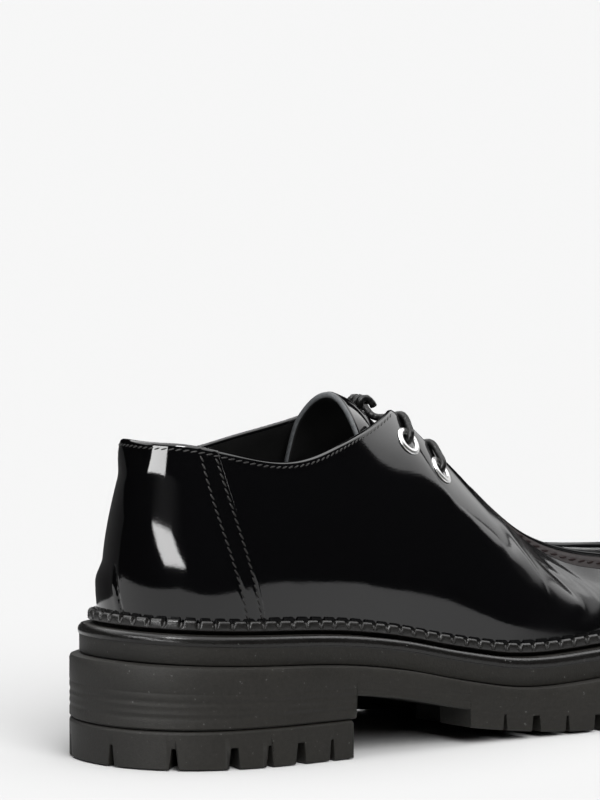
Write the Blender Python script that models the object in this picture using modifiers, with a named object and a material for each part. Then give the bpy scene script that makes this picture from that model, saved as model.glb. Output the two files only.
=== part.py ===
"""Right lace-up shoe: an apron-toe derby in high-gloss leather on a lugged rubber unit sole.

Sizes are in millimetres and are scaled to metres as each mesh is made. X runs from the back of
the sole to the toe, Y from the lateral to the medial side, Z up from the floor.
"""
import math

import bmesh
import bpy
import numpy as np
from mathutils import Vector

# Driving dimensions
MM = 0.001
GAP = 0.3
LAST_START = 9.5
LAST_LENGTH = 264.0
WALL_THICK = 1.8
SOLE_EDGE = 9.5
MIDSOLE_EDGE = 7.0
WELT_EDGE = 4.0

# Sole heights and stations
MIDSOLE_THICK = 8.6
MIDSOLE_LIP = 2.4
MIDSOLE_STEP = 1.4
WELT_THICK = 3.6
INSOLE_THICK = 3.0
HEEL_SPLIT = 11.4
BREAST_X = 63.0
WAIST_THICK = 8.7
LUG_START_X = 110.0
FLAT_X = (172.0, 204.0)
REAR_RISE = 5.0
TOE_SPRING = 6.0
TOE_SPRING_POWER = 1.7
LUG_BAND = 14.5
LUG_END = 11.0
TREAD_DEPTH = 5.0
RIB_SHARES = (0.5, 0.72)
RIB_DEPTH = 0.6
RIB_HALF = 0.8
STEP = 0.4

# Upper
CORNER_X = 105.0
THROAT_X = 150.0
COUNTER_THICK = 1.1
COUNTER_TOP_X = 25.8
COUNTER_BOTTOM_X = 38.5
SEAM_START_X = 154.0
SEAM_HALF = 2.2
SEAM_HEIGHT = 2.6
TONGUE_THICK = 2.2
EYELET_RADIUS = 3.75
EYELET_WIRE = 1.0
EYELET_HOLE = 2.7
LACE_RADIUS = 1.4
KNOT_SIZE = (4.0, 4.0, 2.7)

# Where the lace lies on a facing: share of the way down to the eyelet, height over the leather
FACING_LIFTS = (
    # share down, lift
    (1.0, 4.4),
    (0.55, 4.4),
    (0.22, 3.0),
)

# Mesh fineness
SOLE_STATIONS = 26
WALL_ROWS = 7
PLUG_COLUMNS = 6
COUNTER_GRID = (24, 7)
TONGUE_GRID = (16, 10)

# Share of the last's length, then the feather edge's distance from the centre line on each side
OUTLINE = (
    # share, lateral, medial
    (0.00, 0.0, 0.0),
    (0.03, 19.1, 19.9),
    (0.08, 25.7, 26.4),
    (0.16, 29.1, 28.8),
    (0.27, 31.4, 28.2),
    (0.38, 33.4, 26.8),
    (0.50, 37.4, 27.8),
    (0.60, 40.9, 33.2),
    (0.70, 42.7, 39.8),
    (0.78, 41.7, 42.0),
    (0.86, 37.0, 39.2),
    (0.93, 27.8, 31.2),
    (1.00, -3.0, 3.0),
)

# Height of the midsole's top face along the shoe, where the upper and the welt stand
SEAT = (
    # x, height
    (9.5, 39.8),
    (30.0, 38.4),
    (62.0, 36.4),
    (77.0, 34.5),
    (90.0, 32.2),
    (103.0, 29.3),
    (116.0, 26.7),
    (130.0, 24.4),
    (145.0, 23.8),
    (160.0, 24.5),
    (180.0, 25.6),
    (205.0, 26.7),
    (230.0, 28.0),
    (255.0, 29.6),
    (273.5, 31.0),
)

# The upper's wall behind the facing corners: its section at each place along the feather edge
COLLAR_WALL = (
    # x, top height, inset lateral, inset medial, flare, lean, crown
    (9.5, 93.5, 5.5, 5.5, 6.0, 17.0, 40.0),
    (23.0, 92.0, 5.3, 5.3, 7.0, 17.0, 40.0),
    (31.0, 90.2, 4.2, 4.2, 7.0, 16.0, 40.0),
    (48.0, 87.3, 3.4, 3.0, 8.0, 15.0, 40.0),
    (60.0, 88.0, 4.7, 3.2, 9.0, 17.0, 40.0),
    (72.0, 90.6, 7.2, 5.0, 9.0, 22.0, 40.0),
    (91.0, 94.9, 14.2, 9.4, 9.0, 31.0, 40.0),
    (105.0, 99.2, 20.0, 13.7, 9.0, 36.0, 40.0),
)

# The wall ahead of the corners: facing edges as far as the throat, then the apron seam
FRONT_WALL = (
    # x, top height, inset lateral, inset medial, flare, lean, crown
    (105.0, 99.2, 20.0, 13.7, 9.0, 36.0, 40.0),
    (122.0, 86.6, 22.7, 14.9, 9.0, 42.0, 36.0),
    (145.0, 68.4, 27.0, 17.6, 9.0, 50.0, 28.0),
    (158.5, 57.0, 24.6, 17.0, 9.0, 50.0, 23.0),
    (169.0, 51.4, 19.2, 15.0, 9.0, 47.0, 18.0),
    (180.0, 49.2, 14.8, 12.8, 9.0, 44.0, 14.0),
    (200.0, 46.9, 13.2, 12.5, 9.0, 42.0, 12.0),
    (220.0, 45.0, 13.2, 13.2, 9.0, 42.0, 13.0),
    (240.0, 44.2, 14.0, 14.0, 9.0, 44.0, 18.0),
    (260.0, 45.2, 16.5, 16.5, 9.0, 46.0, 24.0),
    (273.5, 46.8, 18.0, 18.0, 9.0, 48.0, 24.0),
)

# The tongue's arched section from its root under the apron to its free top
TONGUE = (
    # x, crown height, arch, half width
    (165.0, 50.4, 0.006, 11.0),
    (158.0, 55.2, 0.010, 12.0),
    (150.0, 62.2, 0.020, 13.0),
    (145.0, 66.6, 0.028, 14.0),
    (133.0, 76.0, 0.042, 15.0),
    (122.0, 84.6, 0.054, 16.0),
    (113.0, 91.4, 0.064, 16.5),
    (105.0, 97.0, 0.072, 16.5),
    (99.0, 101.6, 0.073, 17.0),
    (91.0, 105.0, 0.072, 17.5),
)

# Eyelets on each facing: place along the shoe and distance down from the facing edge
EYELETS = (
    # name, x, drop
    ("upper", 106.0, 10.3),
    ("lower", 118.9, 11.0),
)

# Notches round the heel's top piece: x on the sole edge, width at the floor
HEEL_NOTCHES = (
    (5.5, 4.6),
    (17.0, 4.6),
    (29.5, 3.0),
    (42.0, 4.6),
    (54.0, 3.0),
)
BACK_NOTCH = 4.6
FORE_PITCH = 12.8
FORE_NOTCHES = (3.0, 4.6)
NOTCH_HEIGHT = 6.0
NOTCH_TAPER = 0.6
NOTCH_OVERCUT = 3.0

# Central tread lugs: x, y, radius
FORE_LUGS = (
    (140.0, -2.0, 10.0),
    (166.0, -3.0, 12.0),
    (194.0, -1.0, 13.0),
    (222.0, 1.0, 12.0),
    (247.0, 2.5, 9.0),
)
HEEL_LUG = (34.0, 0.0, 11.0)

RUBBER = ("sole_rubber", (0.012, 0.012, 0.013), 0.62, 0.0)
WELT_RUBBER = ("welt_rubber", (0.014, 0.014, 0.015), 0.45, 0.0)
LEATHER = ("gloss_leather", (0.006, 0.006, 0.007), 0.08, 0.0)
LINING = ("lining_leather", (0.010, 0.010, 0.011), 0.55, 0.0)
NICKEL = ("polished_nickel", (0.78, 0.78, 0.79), 0.10, 1.0)
WAXED_CORD = ("waxed_cord", (0.010, 0.010, 0.011), 0.40, 0.0)

HALF_TURN = math.pi
FULL_TURN = 2.0 * math.pi


def clear_scene():
    for old in list(bpy.data.objects):
        bpy.data.objects.remove(old, do_unlink=True)


def collection(name):
    made = bpy.data.collections.new(name)
    bpy.context.scene.collection.children.link(made)
    return made


def spline(knots, values):
    """Natural cubic spline through the values at the knots."""
    knots = np.asarray(knots, dtype=float)
    values = np.asarray(values, dtype=float)
    steps = np.diff(knots)
    slopes = np.diff(values) / steps
    matrix = np.eye(len(knots))
    right = np.zeros(len(knots))
    for row in range(1, len(knots) - 1):
        matrix[row, row - 1:row + 2] = (steps[row - 1], 2.0 * (steps[row - 1] + steps[row]), steps[row])
        right[row] = 6.0 * (slopes[row] - slopes[row - 1])
    bends = np.linalg.solve(matrix, right)

    def evaluate(at):
        left = int(np.clip(np.searchsorted(knots, at) - 1, 0, len(knots) - 2))
        before = (knots[left + 1] - at) / steps[left]
        after = 1.0 - before
        curve = (before ** 3 - before) * bends[left] + (after ** 3 - after) * bends[left + 1]
        return before * values[left] + after * values[left + 1] + curve * steps[left] ** 2 / 6.0

    return evaluate


def turn_at(x):
    """Angle of the lateral outline at a place along the shoe: 0 at the heel, half a turn at the toe."""
    share = (x - LAST_START) / LAST_LENGTH
    return math.acos(min(max(1.0 - 2.0 * share, -1.0), 1.0))


def along(turn):
    return LAST_START + LAST_LENGTH * (1.0 - math.cos(turn)) / 2.0


def outline_spline():
    """The feather edge's Y round the whole outline, lateral side first, smooth across heel and toe."""
    rows = [(turn_at(LAST_START + share * LAST_LENGTH), -lateral) for share, lateral, _ in OUTLINE]
    rows += [(FULL_TURN - turn_at(LAST_START + share * LAST_LENGTH), medial)
             for share, _, medial in reversed(OUTLINE[1:-1])]
    laps = [(turn + lap * FULL_TURN, y) for lap in (-1, 0, 1) for turn, y in rows]
    return spline(*zip(*laps))


def column_spline(rows, lateral_column, medial_column, start_from_heel):
    """A wall column as a spline round the heel or round the toe, from one corner to the other."""
    lateral = [(turn_at(row[0]), row[lateral_column]) for row in rows]
    if start_from_heel:
        medial = [(-turn_at(row[0]), row[medial_column]) for row in reversed(rows[1:])]
        return spline(*zip(*(medial + lateral)))
    medial = [(FULL_TURN - turn_at(row[0]), row[medial_column]) for row in reversed(rows[:-1])]
    return spline(*zip(*(lateral + medial)))


WALL_COLUMNS = {"top": (1, 1), "inset": (2, 3), "flare": (4, 4), "lean": (5, 5), "crown": (6, 6)}
COLLAR_SPLINES = {key: column_spline(COLLAR_WALL, *pair, True) for key, pair in WALL_COLUMNS.items()}
FRONT_SPLINES = {key: column_spline(FRONT_WALL, *pair, False) for key, pair in WALL_COLUMNS.items()}
TONGUE_SHAPE = {name: spline(*zip(*[(row[0], row[column]) for row in sorted(TONGUE)]))
                for column, name in ((1, "crown"), (2, "arch"), (3, "half"))}
EDGE_Y = outline_spline()
SEAT_HEIGHT = spline(*zip(*SEAT))
CORNER = turn_at(CORNER_X)
THROAT = turn_at(THROAT_X)


def wall_value(key, turn):
    turn = turn % FULL_TURN
    if turn <= CORNER:
        return COLLAR_SPLINES[key](turn)
    if turn >= FULL_TURN - CORNER:
        return COLLAR_SPLINES[key](turn - FULL_TURN)
    return FRONT_SPLINES[key](turn)


def outward(turn):
    """Plan normal of the feather edge, pointing out of the shoe."""
    step = 1e-3
    ahead = (along(turn + step), EDGE_Y((turn + step) % FULL_TURN))
    behind = (along(turn - step), EDGE_Y((turn - step) % FULL_TURN))
    tangent = Vector((ahead[0] - behind[0], ahead[1] - behind[1])).normalized()
    return Vector((tangent.y, -tangent.x))


def section_out(turn):
    """Plan direction of the wall's section: square to the shoe at the waist, to the edge at heel and toe."""
    normal = outward(turn)
    return Vector((normal.x * abs(math.cos(turn)), normal.y)).normalized()


def edge_point(turn, offset, height):
    """A point at a distance outside the feather edge, at a given height."""
    place = Vector((along(turn), EDGE_Y(turn % FULL_TURN))) + outward(turn) * offset
    return Vector((place.x, place.y, height))


def seat(turn):
    return SEAT_HEIGHT(along(turn))


def rim(turn):
    return seat(turn) - MIDSOLE_THICK - GAP


def ground(x):
    """The tread's lowest line: flat under the ball, rising to the waist and to the toe."""
    if x < FLAT_X[0]:
        return REAR_RISE * ((FLAT_X[0] - x) / (FLAT_X[0] - LUG_START_X)) ** 2
    if x > FLAT_X[1]:
        toe = LAST_START + LAST_LENGTH + SOLE_EDGE
        return TOE_SPRING * ((x - FLAT_X[1]) / (toe - FLAT_X[1])) ** TOE_SPRING_POWER
    return 0.0


def wall_section(turn):
    """Control points of the wall's section: distance inward from the feather edge, and height."""
    bottom = seat(turn) + GAP
    rise = wall_value("top", turn) - bottom
    inset = wall_value("inset", turn)
    flare = math.radians(wall_value("flare", turn))
    lean = math.radians(wall_value("lean", turn))
    reach = 0.4 * math.hypot(rise, inset)
    foot = Vector((0.0, bottom))
    head = Vector((inset, bottom + rise))
    low = foot + reach * Vector((-math.sin(flare), math.cos(flare)))
    high = head - reach * Vector((math.sin(lean), math.cos(lean)))
    return foot, low, high, head


def bezier(points, share):
    rest = 1.0 - share
    weights = (rest ** 3, 3.0 * rest ** 2 * share, 3.0 * rest * share ** 2, share ** 3)
    total = points[0] * 0.0
    for weight, point in zip(weights, points):
        total = total + weight * point
    return total


def wall(turn, share):
    """The upper's outer face, from the feather edge at 0 to the top edge at 1."""
    inset, height = bezier(wall_section(turn), share)
    return edge_point(turn, 0.0, height) - section_out(turn).to_3d() * inset


def wall_normal(turn, share):
    step = 2e-3
    low, high = max(share - step, 0.0), min(share + step, 1.0)
    up = wall(turn, high) - wall(turn, low)
    round_edge = wall(turn + step, share) - wall(turn - step, share)
    return round_edge.cross(up).normalized()


def share_at_height(turn, height):
    """How far up the wall's section a given height lies."""
    section = wall_section(turn)
    low, high = 0.0, 1.0
    for _ in range(30):
        middle = (low + high) / 2.0
        if bezier(section, middle).y < height:
            low = middle
        else:
            high = middle
    return low


def share_from_top(turn, distance):
    """How far up the section a point lies that is a distance down from the top edge."""
    top = wall(turn, 1.0)
    low, high = 0.0, 1.0
    for _ in range(30):
        middle = (low + high) / 2.0
        if (wall(turn, middle) - top).length > distance:
            low = middle
        else:
            high = middle
    return low


def bridge(turn, across):
    """The crowned surface between the two top edges: across runs 0 to 1, lateral to medial."""
    start = wall(turn, 1.0)
    end = wall(FULL_TURN - turn, 1.0)
    span = end - start
    rise = math.tan(math.radians(wall_value("crown", turn))) * span.length / 3.0
    lift = Vector((0.0, 0.0, rise))
    return bezier((start, start + span / 3.0 + lift, end - span / 3.0 + lift, end), across)


def material(finish):
    name, colour, roughness, metallic = finish
    made = bpy.data.materials.get(name) or bpy.data.materials.new(name)
    made.use_nodes = True
    shader = made.node_tree.nodes["Principled BSDF"]
    shader.inputs["Base Color"].default_value = (*colour, 1.0)
    shader.inputs["Roughness"].default_value = roughness
    shader.inputs["Metallic"].default_value = metallic
    return made


def add_object(name, data, finish=None):
    made = bpy.data.objects.new(name, data)
    if finish is None:
        CUTTERS.objects.link(made)
        made.hide_render = True
        made.display_type = "WIRE"
    else:
        PARTS.objects.link(made)
        data.materials.append(material(finish))
        if isinstance(data, bpy.types.Mesh):
            data.shade_smooth()
            data.set_sharp_from_angle(angle=math.radians(38.0))
    made.parent = ROOT
    return made


def sheet(mesh, columns, rows, place):
    """A grid whose points are placed by their column and row."""
    made = bmesh.ops.create_grid(mesh, x_segments=columns, y_segments=rows, size=1.0)
    for vertex in made["verts"]:
        column = round((vertex.co.x + 1.0) / 2.0 * columns)
        row = round((vertex.co.y + 1.0) / 2.0 * rows)
        vertex.co = place(column, row) * MM
    return made["verts"]


def finished(mesh, name, finish, closed=True):
    bmesh.ops.remove_doubles(mesh, verts=mesh.verts, dist=0.002 * MM)
    bmesh.ops.dissolve_degenerate(mesh, dist=0.001 * MM, edges=mesh.edges)
    if closed:
        bmesh.ops.edgeloop_fill(mesh, edges=[edge for edge in mesh.edges if edge.is_boundary])
        bmesh.ops.recalc_face_normals(mesh, faces=mesh.faces)
        bmesh.ops.triangulate(mesh, faces=mesh.faces)
    data = bpy.data.meshes.new(name)
    mesh.to_mesh(data)
    mesh.free()
    return add_object(name, data, finish)


def slab(name, finish, turns, section):
    """A solid across the shoe: section(turn) lists one side's offsets and heights, low to high."""
    mesh = bmesh.new()

    def ring(turn):
        lateral = [edge_point(turn, offset, height) for offset, height in section(turn)]
        medial = [edge_point(FULL_TURN - turn, offset, height) for offset, height in section(turn)]
        return lateral + medial[::-1]

    rings = [ring(turn) for turn in turns]
    count = len(rings[0])
    sheet(mesh, len(turns) - 1, count, lambda column, row: rings[column][row % count])
    return finished(mesh, name, finish)


def stations(start_x, end_x, count):
    """Turns along one side, spaced evenly in angle, so that they gather at heel and toe."""
    first = turn_at(start_x)
    last = turn_at(end_x)
    return [first + (last - first) * step / count for step in range(count + 1)]


def cut(piece, cutter, operation="DIFFERENCE"):
    change = piece.modifiers.new(cutter.name, "BOOLEAN")
    change.operation = operation
    change.object = cutter


def notch(mesh, turn, width, floor):
    """One tapered slot across the sole's edge, as a box with its top narrowed."""
    centre = edge_point(turn, SOLE_EDGE, floor)
    out = outward(turn).to_3d()
    side = Vector((-out.y, out.x, 0.0))
    for vertex in bmesh.ops.create_cube(mesh, size=1.0)["verts"]:
        across, depth, high = vertex.co
        narrowing = NOTCH_TAPER if high > 0.0 else 1.0
        reach = NOTCH_OVERCUT if depth > 0.0 else -LUG_BAND - 1.0
        height = NOTCH_HEIGHT if high > 0.0 else -NOTCH_OVERCUT
        place = centre + side * (across * width * narrowing) + out * reach
        vertex.co = Vector((place.x, place.y, floor + height)) * MM


def walk(start, end, pitch):
    """Turns along the sole's edge at an even pitch."""
    steps = 2000
    turns = np.linspace(start, end, steps)
    points = [edge_point(turn, SOLE_EDGE, 0.0) for turn in turns]
    travelled = 0.0
    wanted = pitch * 0.5
    for here, there, turn in zip(points, points[1:], turns[1:]):
        travelled += (there - here).length
        if travelled >= wanted:
            wanted += pitch
            yield turn


def lug(mesh, x, y, radius, low, high):
    made = bmesh.ops.create_cone(mesh, cap_ends=True, segments=6, radius1=radius, radius2=radius * 0.92,
                                 depth=high - low)
    for vertex in made["verts"]:
        vertex.co = (vertex.co + Vector((x, y, (low + high) / 2.0))) * MM


def make_heel_top_piece():
    front = BREAST_X - LUG_END
    turns = stations(LAST_START, front, 12) + stations(front + STEP, BREAST_X, 2)
    inner = SOLE_EDGE - LUG_BAND

    def section(turn):
        hollow = TREAD_DEPTH if along(turn) < front + STEP / 2.0 else 0.0
        return ((inner, hollow), (inner, 0.0), (SOLE_EDGE, 0.0), (SOLE_EDGE, HEEL_SPLIT - 1.0),
                (SOLE_EDGE - 1.0, HEEL_SPLIT))

    piece = slab("heel_top_piece", RUBBER, turns, section)
    notches = bmesh.new()
    notch(notches, 0.0, BACK_NOTCH, 0.0)
    for x, width in HEEL_NOTCHES:
        for side in (1.0, -1.0):
            notch(notches, side * heel_turn(x), width, 0.0)
    cut(piece, finished(notches, "heel_notches", None))
    centre = bmesh.new()
    lug(centre, *HEEL_LUG, 0.0, TREAD_DEPTH + 2.0)
    cut(piece, finished(centre, "heel_lug", None), "UNION")


def heel_turn(x):
    """Turn whose point on the sole's edge lies at x."""
    low, high = 0.0, CORNER
    for _ in range(30):
        middle = (low + high) / 2.0
        if edge_point(middle, SOLE_EDGE, 0.0).x < x:
            low = middle
        else:
            high = middle
    return low


def make_outsole():
    tread = LUG_START_X + LUG_END
    turns = stations(LAST_START, BREAST_X - STEP, 12)
    turns += stations(BREAST_X, LUG_START_X - STEP, 5)
    turns += stations(LUG_START_X, tread - STEP, 2)
    turns += stations(tread, LAST_START + LAST_LENGTH, SOLE_STATIONS - 10)
    inner = SOLE_EDGE - LUG_BAND

    def section(turn):
        x = along(turn)
        top = rim(turn)
        hollow = TREAD_DEPTH if x > tread - STEP / 2.0 else 0.0
        if x < BREAST_X - STEP / 2.0:
            low = HEEL_SPLIT + GAP
        elif x < LUG_START_X - STEP / 2.0:
            low = top - WAIST_THICK
        else:
            low = ground(x)
        tall = top - low
        points = [(inner, low + hollow), (inner, low), (SOLE_EDGE, low)]
        for share in RIB_SHARES:
            middle = low + tall * share
            points += [(SOLE_EDGE, middle - RIB_HALF), (SOLE_EDGE - RIB_DEPTH, middle),
                       (SOLE_EDGE, middle + RIB_HALF)]
        points += [(SOLE_EDGE, top - 1.2), (SOLE_EDGE - 1.0, top)]
        return points

    piece = slab("outsole", RUBBER, turns, section)
    notches = bmesh.new()
    start = turn_at(LUG_START_X + 4.0)
    for count, turn in enumerate(walk(start, FULL_TURN - start, FORE_PITCH)):
        notch(notches, turn, FORE_NOTCHES[count % len(FORE_NOTCHES)], ground(along(turn)))
    cut(piece, finished(notches, "fore_notches", None))
    centre = bmesh.new()
    for x, y, radius in FORE_LUGS:
        lug(centre, x, y, radius, ground(x), ground(x) + TREAD_DEPTH + 2.0)
    cut(piece, finished(centre, "fore_lugs", None), "UNION")


def make_midsole():
    turns = stations(LAST_START, LAST_START + LAST_LENGTH, SOLE_STATIONS)

    def section(turn):
        top = seat(turn)
        low = top - MIDSOLE_THICK
        return ((MIDSOLE_EDGE - MIDSOLE_STEP, low), (MIDSOLE_EDGE - MIDSOLE_STEP, top - MIDSOLE_LIP - 0.8),
                (MIDSOLE_EDGE, top - MIDSOLE_LIP), (MIDSOLE_EDGE, top - 0.9), (MIDSOLE_EDGE - 0.9, top))

    slab("midsole", RUBBER, turns, section)


def make_insole():
    turns = stations(LAST_START, LAST_START + LAST_LENGTH, SOLE_STATIONS)
    inner = -(WALL_THICK + 2.0 * GAP)

    def section(turn):
        low = seat(turn) + GAP
        return ((inner, low), (inner, low + INSOLE_THICK - 0.8), (inner - 0.8, low + INSOLE_THICK))

    slab("insole", LINING, turns, section)


def make_welt():
    mesh = bmesh.new()
    count = 2 * SOLE_STATIONS
    profile_size = 5

    def place(column, row):
        turn = FULL_TURN * column / count
        low = seat(turn) + GAP
        high = low + WELT_THICK
        inset = bezier(wall_section(turn), share_at_height(turn, high)).x
        profile = ((GAP - min(inset, 0.0), low), (WELT_EDGE, low), (WELT_EDGE, high - 0.8),
                   (WELT_EDGE - 0.8, high), (GAP - min(inset, 0.0), high))
        return edge_point(turn, *profile[row % profile_size])

    sheet(mesh, count, profile_size, place)
    finished(mesh, "welt", WELT_RUBBER)


def upper_turns():
    """Turns round the upper, with a station on each facing corner, throat end and seam end."""
    toe = LAST_START + LAST_LENGTH
    side = stations(LAST_START, CORNER_X, 12)
    side += stations(CORNER_X, THROAT_X, 7)[1:]
    side += stations(THROAT_X, SEAM_START_X, 1)[1:]
    side += stations(SEAM_START_X, toe, 14)[1:]
    return side + [FULL_TURN - turn for turn in reversed(side[:-1])]


def make_upper():
    mesh = bmesh.new()
    turns = upper_turns()
    sheet(mesh, len(turns) - 1, WALL_ROWS, lambda column, row: wall(turns[column], row / WALL_ROWS))
    apron = [turn for turn in turns if THROAT - 1e-6 <= turn <= HALF_TURN + 1e-6]
    sheet(mesh, len(apron) - 1, PLUG_COLUMNS, lambda column, row: bridge(apron[column], row / PLUG_COLUMNS))
    bmesh.ops.remove_doubles(mesh, verts=mesh.verts, dist=0.002 * MM)
    bmesh.ops.recalc_face_normals(mesh, faces=mesh.faces)
    piece = finished(mesh, "upper", LEATHER, closed=False)
    shell = piece.modifiers.new("wall", "SOLIDIFY")
    shell.thickness = WALL_THICK * MM
    shell.offset = -1.0
    shell.use_even_offset = True
    holes = bmesh.new()
    for side in (0, 1):
        for _, x, drop in EYELETS:
            place, normal = eyelet_seat(side, x, drop)
            made = bmesh.ops.create_cone(holes, cap_ends=True, segments=16, radius1=EYELET_HOLE,
                                         radius2=EYELET_HOLE, depth=4.0 * WALL_THICK)
            turn_to = Vector((0.0, 0.0, 1.0)).rotation_difference(normal)
            for vertex in made["verts"]:
                vertex.co = (place + turn_to @ vertex.co) * MM
    cut(piece, finished(holes, "eyelet_holes", None))


def eyelet_seat(side, x, drop):
    """Place and normal of an eyelet on the lateral (0) or medial (1) facing."""
    turn = turn_at(x) if side == 0 else FULL_TURN - turn_at(x)
    share = share_from_top(turn, drop)
    return wall(turn, share), wall_normal(turn, share)


def make_heel_counter():
    mesh = bmesh.new()
    columns, rows = COUNTER_GRID

    def place(column, row):
        share_up = row / rows
        edge_x = COUNTER_BOTTOM_X + (COUNTER_TOP_X - COUNTER_BOTTOM_X) * share_up
        turn = turn_at(edge_x) * (2.0 * column / columns - 1.0)
        foot = share_at_height(turn, seat(turn) + WELT_THICK + 3.0 * GAP)
        share = foot + (1.0 - foot) * share_up
        return wall(turn, share) + wall_normal(turn, share) * GAP

    sheet(mesh, columns, rows, place)
    bmesh.ops.recalc_face_normals(mesh, faces=mesh.faces)
    piece = finished(mesh, "heel_counter", LEATHER, closed=False)
    shell = piece.modifiers.new("wall", "SOLIDIFY")
    shell.thickness = COUNTER_THICK * MM
    shell.offset = 1.0


def make_apron_seam():
    mesh = bmesh.new()
    start = turn_at(SEAM_START_X)
    turns = [turn for turn in upper_turns() if start - 1e-6 <= turn <= FULL_TURN - start + 1e-6]

    def profile(turn):
        """Section of the ridge, from its wall side over two rolls to its apron side and back beneath."""
        lean = math.radians(wall_value("lean", turn))
        crown = math.radians(wall_value("crown", turn))
        down = Vector((-math.sin(lean), -math.cos(lean)))
        wall_out = Vector((-math.cos(lean), math.sin(lean)))
        over = Vector((math.cos(crown), math.sin(crown)))
        apron_out = Vector((-math.sin(crown), math.cos(crown)))
        middle = (wall_out + apron_out).normalized()
        return (down * SEAM_HALF + wall_out * GAP * 1.5,
                down * SEAM_HALF + wall_out * SEAM_HEIGHT * 0.5,
                down * SEAM_HALF * 0.5 + wall_out * SEAM_HEIGHT * 0.85,
                middle * SEAM_HEIGHT * 0.8,
                over * SEAM_HALF * 0.5 + apron_out * SEAM_HEIGHT,
                over * SEAM_HALF + apron_out * SEAM_HEIGHT * 0.6,
                over * SEAM_HALF + apron_out * GAP * 2.5,
                middle * GAP * 1.8)

    def place(column, row):
        turn = turns[column]
        points = profile(turn)
        inward, up = points[row % len(points)]
        top = wall(turn, 1.0)
        out = section_out(turn).to_3d()
        return top - out * inward + Vector((0.0, 0.0, up))

    sheet(mesh, len(turns) - 1, len(profile(HALF_TURN)), place)
    finished(mesh, "apron_seam", LEATHER)


def make_tongue():
    mesh = bmesh.new()
    columns, cross = TONGUE_GRID
    first, last = TONGUE[-1][0], TONGUE[0][0]

    def place(column, row):
        x = first + (last - first) * column / columns
        across = 2.0 * row / cross - 1.0
        return tongue_point(x, across * TONGUE_SHAPE["half"](x))

    sheet(mesh, columns, cross, place)
    bmesh.ops.recalc_face_normals(mesh, faces=mesh.faces)
    piece = finished(mesh, "tongue", LEATHER, closed=False)
    shell = piece.modifiers.new("wall", "SOLIDIFY")
    shell.thickness = TONGUE_THICK * MM
    shell.offset = -1.0


def make_eyelets():
    for side, side_name in enumerate(("lateral", "medial")):
        for name, x, drop in EYELETS:
            place, normal = eyelet_seat(side, x, drop)
            bpy.ops.mesh.primitive_torus_add(major_radius=EYELET_RADIUS * MM, minor_radius=EYELET_WIRE * MM,
                                             major_segments=16, minor_segments=6)
            ring = bpy.context.object
            data = ring.data
            bpy.data.objects.remove(ring, do_unlink=True)
            piece = add_object(f"eyelet_{side_name}_{name}", data, NICKEL)
            piece.location = (place + normal * (EYELET_WIRE + GAP)) * MM
            piece.rotation_mode = "QUATERNION"
            piece.rotation_quaternion = Vector((0.0, 0.0, 1.0)).rotation_difference(normal)


def cord(name, points):
    """A round lace along a smooth curve through the points."""
    shares = np.linspace(0.0, 1.0, len(points))
    curves = [spline(shares, [point[axis] for point in points]) for axis in range(3)]
    length = sum((b - a).length for a, b in zip(points, points[1:]))
    count = max(8, round(length / (4.0 * LACE_RADIUS)))
    data = bpy.data.curves.new(name, "CURVE")
    data.dimensions = "3D"
    data.bevel_depth = LACE_RADIUS * MM
    data.bevel_resolution = 2
    data.use_fill_caps = True
    line = data.splines.new("POLY")
    line.points.add(count)
    for step, point in enumerate(line.points):
        point.co = (*(curve(step / count) * MM for curve in curves), 1.0)
    add_object(name, data, WAXED_CORD)


def tongue_point(x, y, lift=0.0):
    """A point on the tongue's face, or lifted off it."""
    step = 0.1
    arch = TONGUE_SHAPE["arch"](x)
    height = TONGUE_SHAPE["crown"](x) - arch * y * y
    ahead = TONGUE_SHAPE["crown"](x + step) - TONGUE_SHAPE["arch"](x + step) * y * y
    normal = Vector(((height - ahead) / step, 2.0 * arch * y, 1.0)).normalized()
    return Vector((x, y, height)) + normal * lift


def facing_run(side, x, drop):
    """The lace's way up a facing, from over its eyelet to just inside the edge."""
    turn = turn_at(x) if side == 0 else FULL_TURN - turn_at(x)
    points = []
    for share_down, lift in FACING_LIFTS:
        share = share_from_top(turn, drop * share_down)
        points.append(wall(turn, share) + wall_normal(turn, share) * lift)
    edge = wall(turn, 1.0)
    over = edge + Vector((0.0, 0.0, LACE_RADIUS + 2.0 * GAP))
    inside = edge - section_out(turn).to_3d() * (WALL_THICK + 3.0 * GAP) + Vector((0.0, 0.0, LACE_RADIUS))
    return points + [over, inside]


def make_lower_bar():
    _, x, drop = EYELETS[1]
    lift = LACE_RADIUS + 3.0 * GAP
    middle = [tongue_point(x, share * KNOT_SIZE[1], lift) for share in (-1.0, 0.0, 1.0)]
    cord("lace_bar_lower", facing_run(0, x, drop) + middle + facing_run(1, x, drop)[::-1])


def make_upper_bars():
    """Two half bars, from the upper eyelets down to the sides of the knot on the tongue."""
    _, x, drop = EYELETS[0]
    lift = LACE_RADIUS + 2.0 * GAP
    for side, name in enumerate(("lateral", "medial")):
        sign = 2 * side - 1
        low = tongue_point(x, sign * (KNOT_SIZE[1] + 3.2), lift + 0.6)
        end = tongue_point(x, sign * (KNOT_SIZE[1] + GAP), lift + 0.6)
        cord(f"lace_bar_upper_{name}", facing_run(side, x, drop) + [low, end])


def make_knot():
    mesh = bmesh.new()
    x = EYELETS[0][1]
    centre = tongue_point(x, 0.0, KNOT_SIZE[2] + 2.0 * GAP)
    turn_to = Vector((0.0, 0.0, 1.0)).rotation_difference(centre - tongue_point(x, 0.0))
    for vertex in bmesh.ops.create_uvsphere(mesh, u_segments=12, v_segments=8, radius=1.0)["verts"]:
        scaled = Vector([size * axis for size, axis in zip(KNOT_SIZE, vertex.co)])
        vertex.co = (centre + turn_to @ scaled) * MM
    finished(mesh, "lace_knot", WAXED_CORD)


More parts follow.
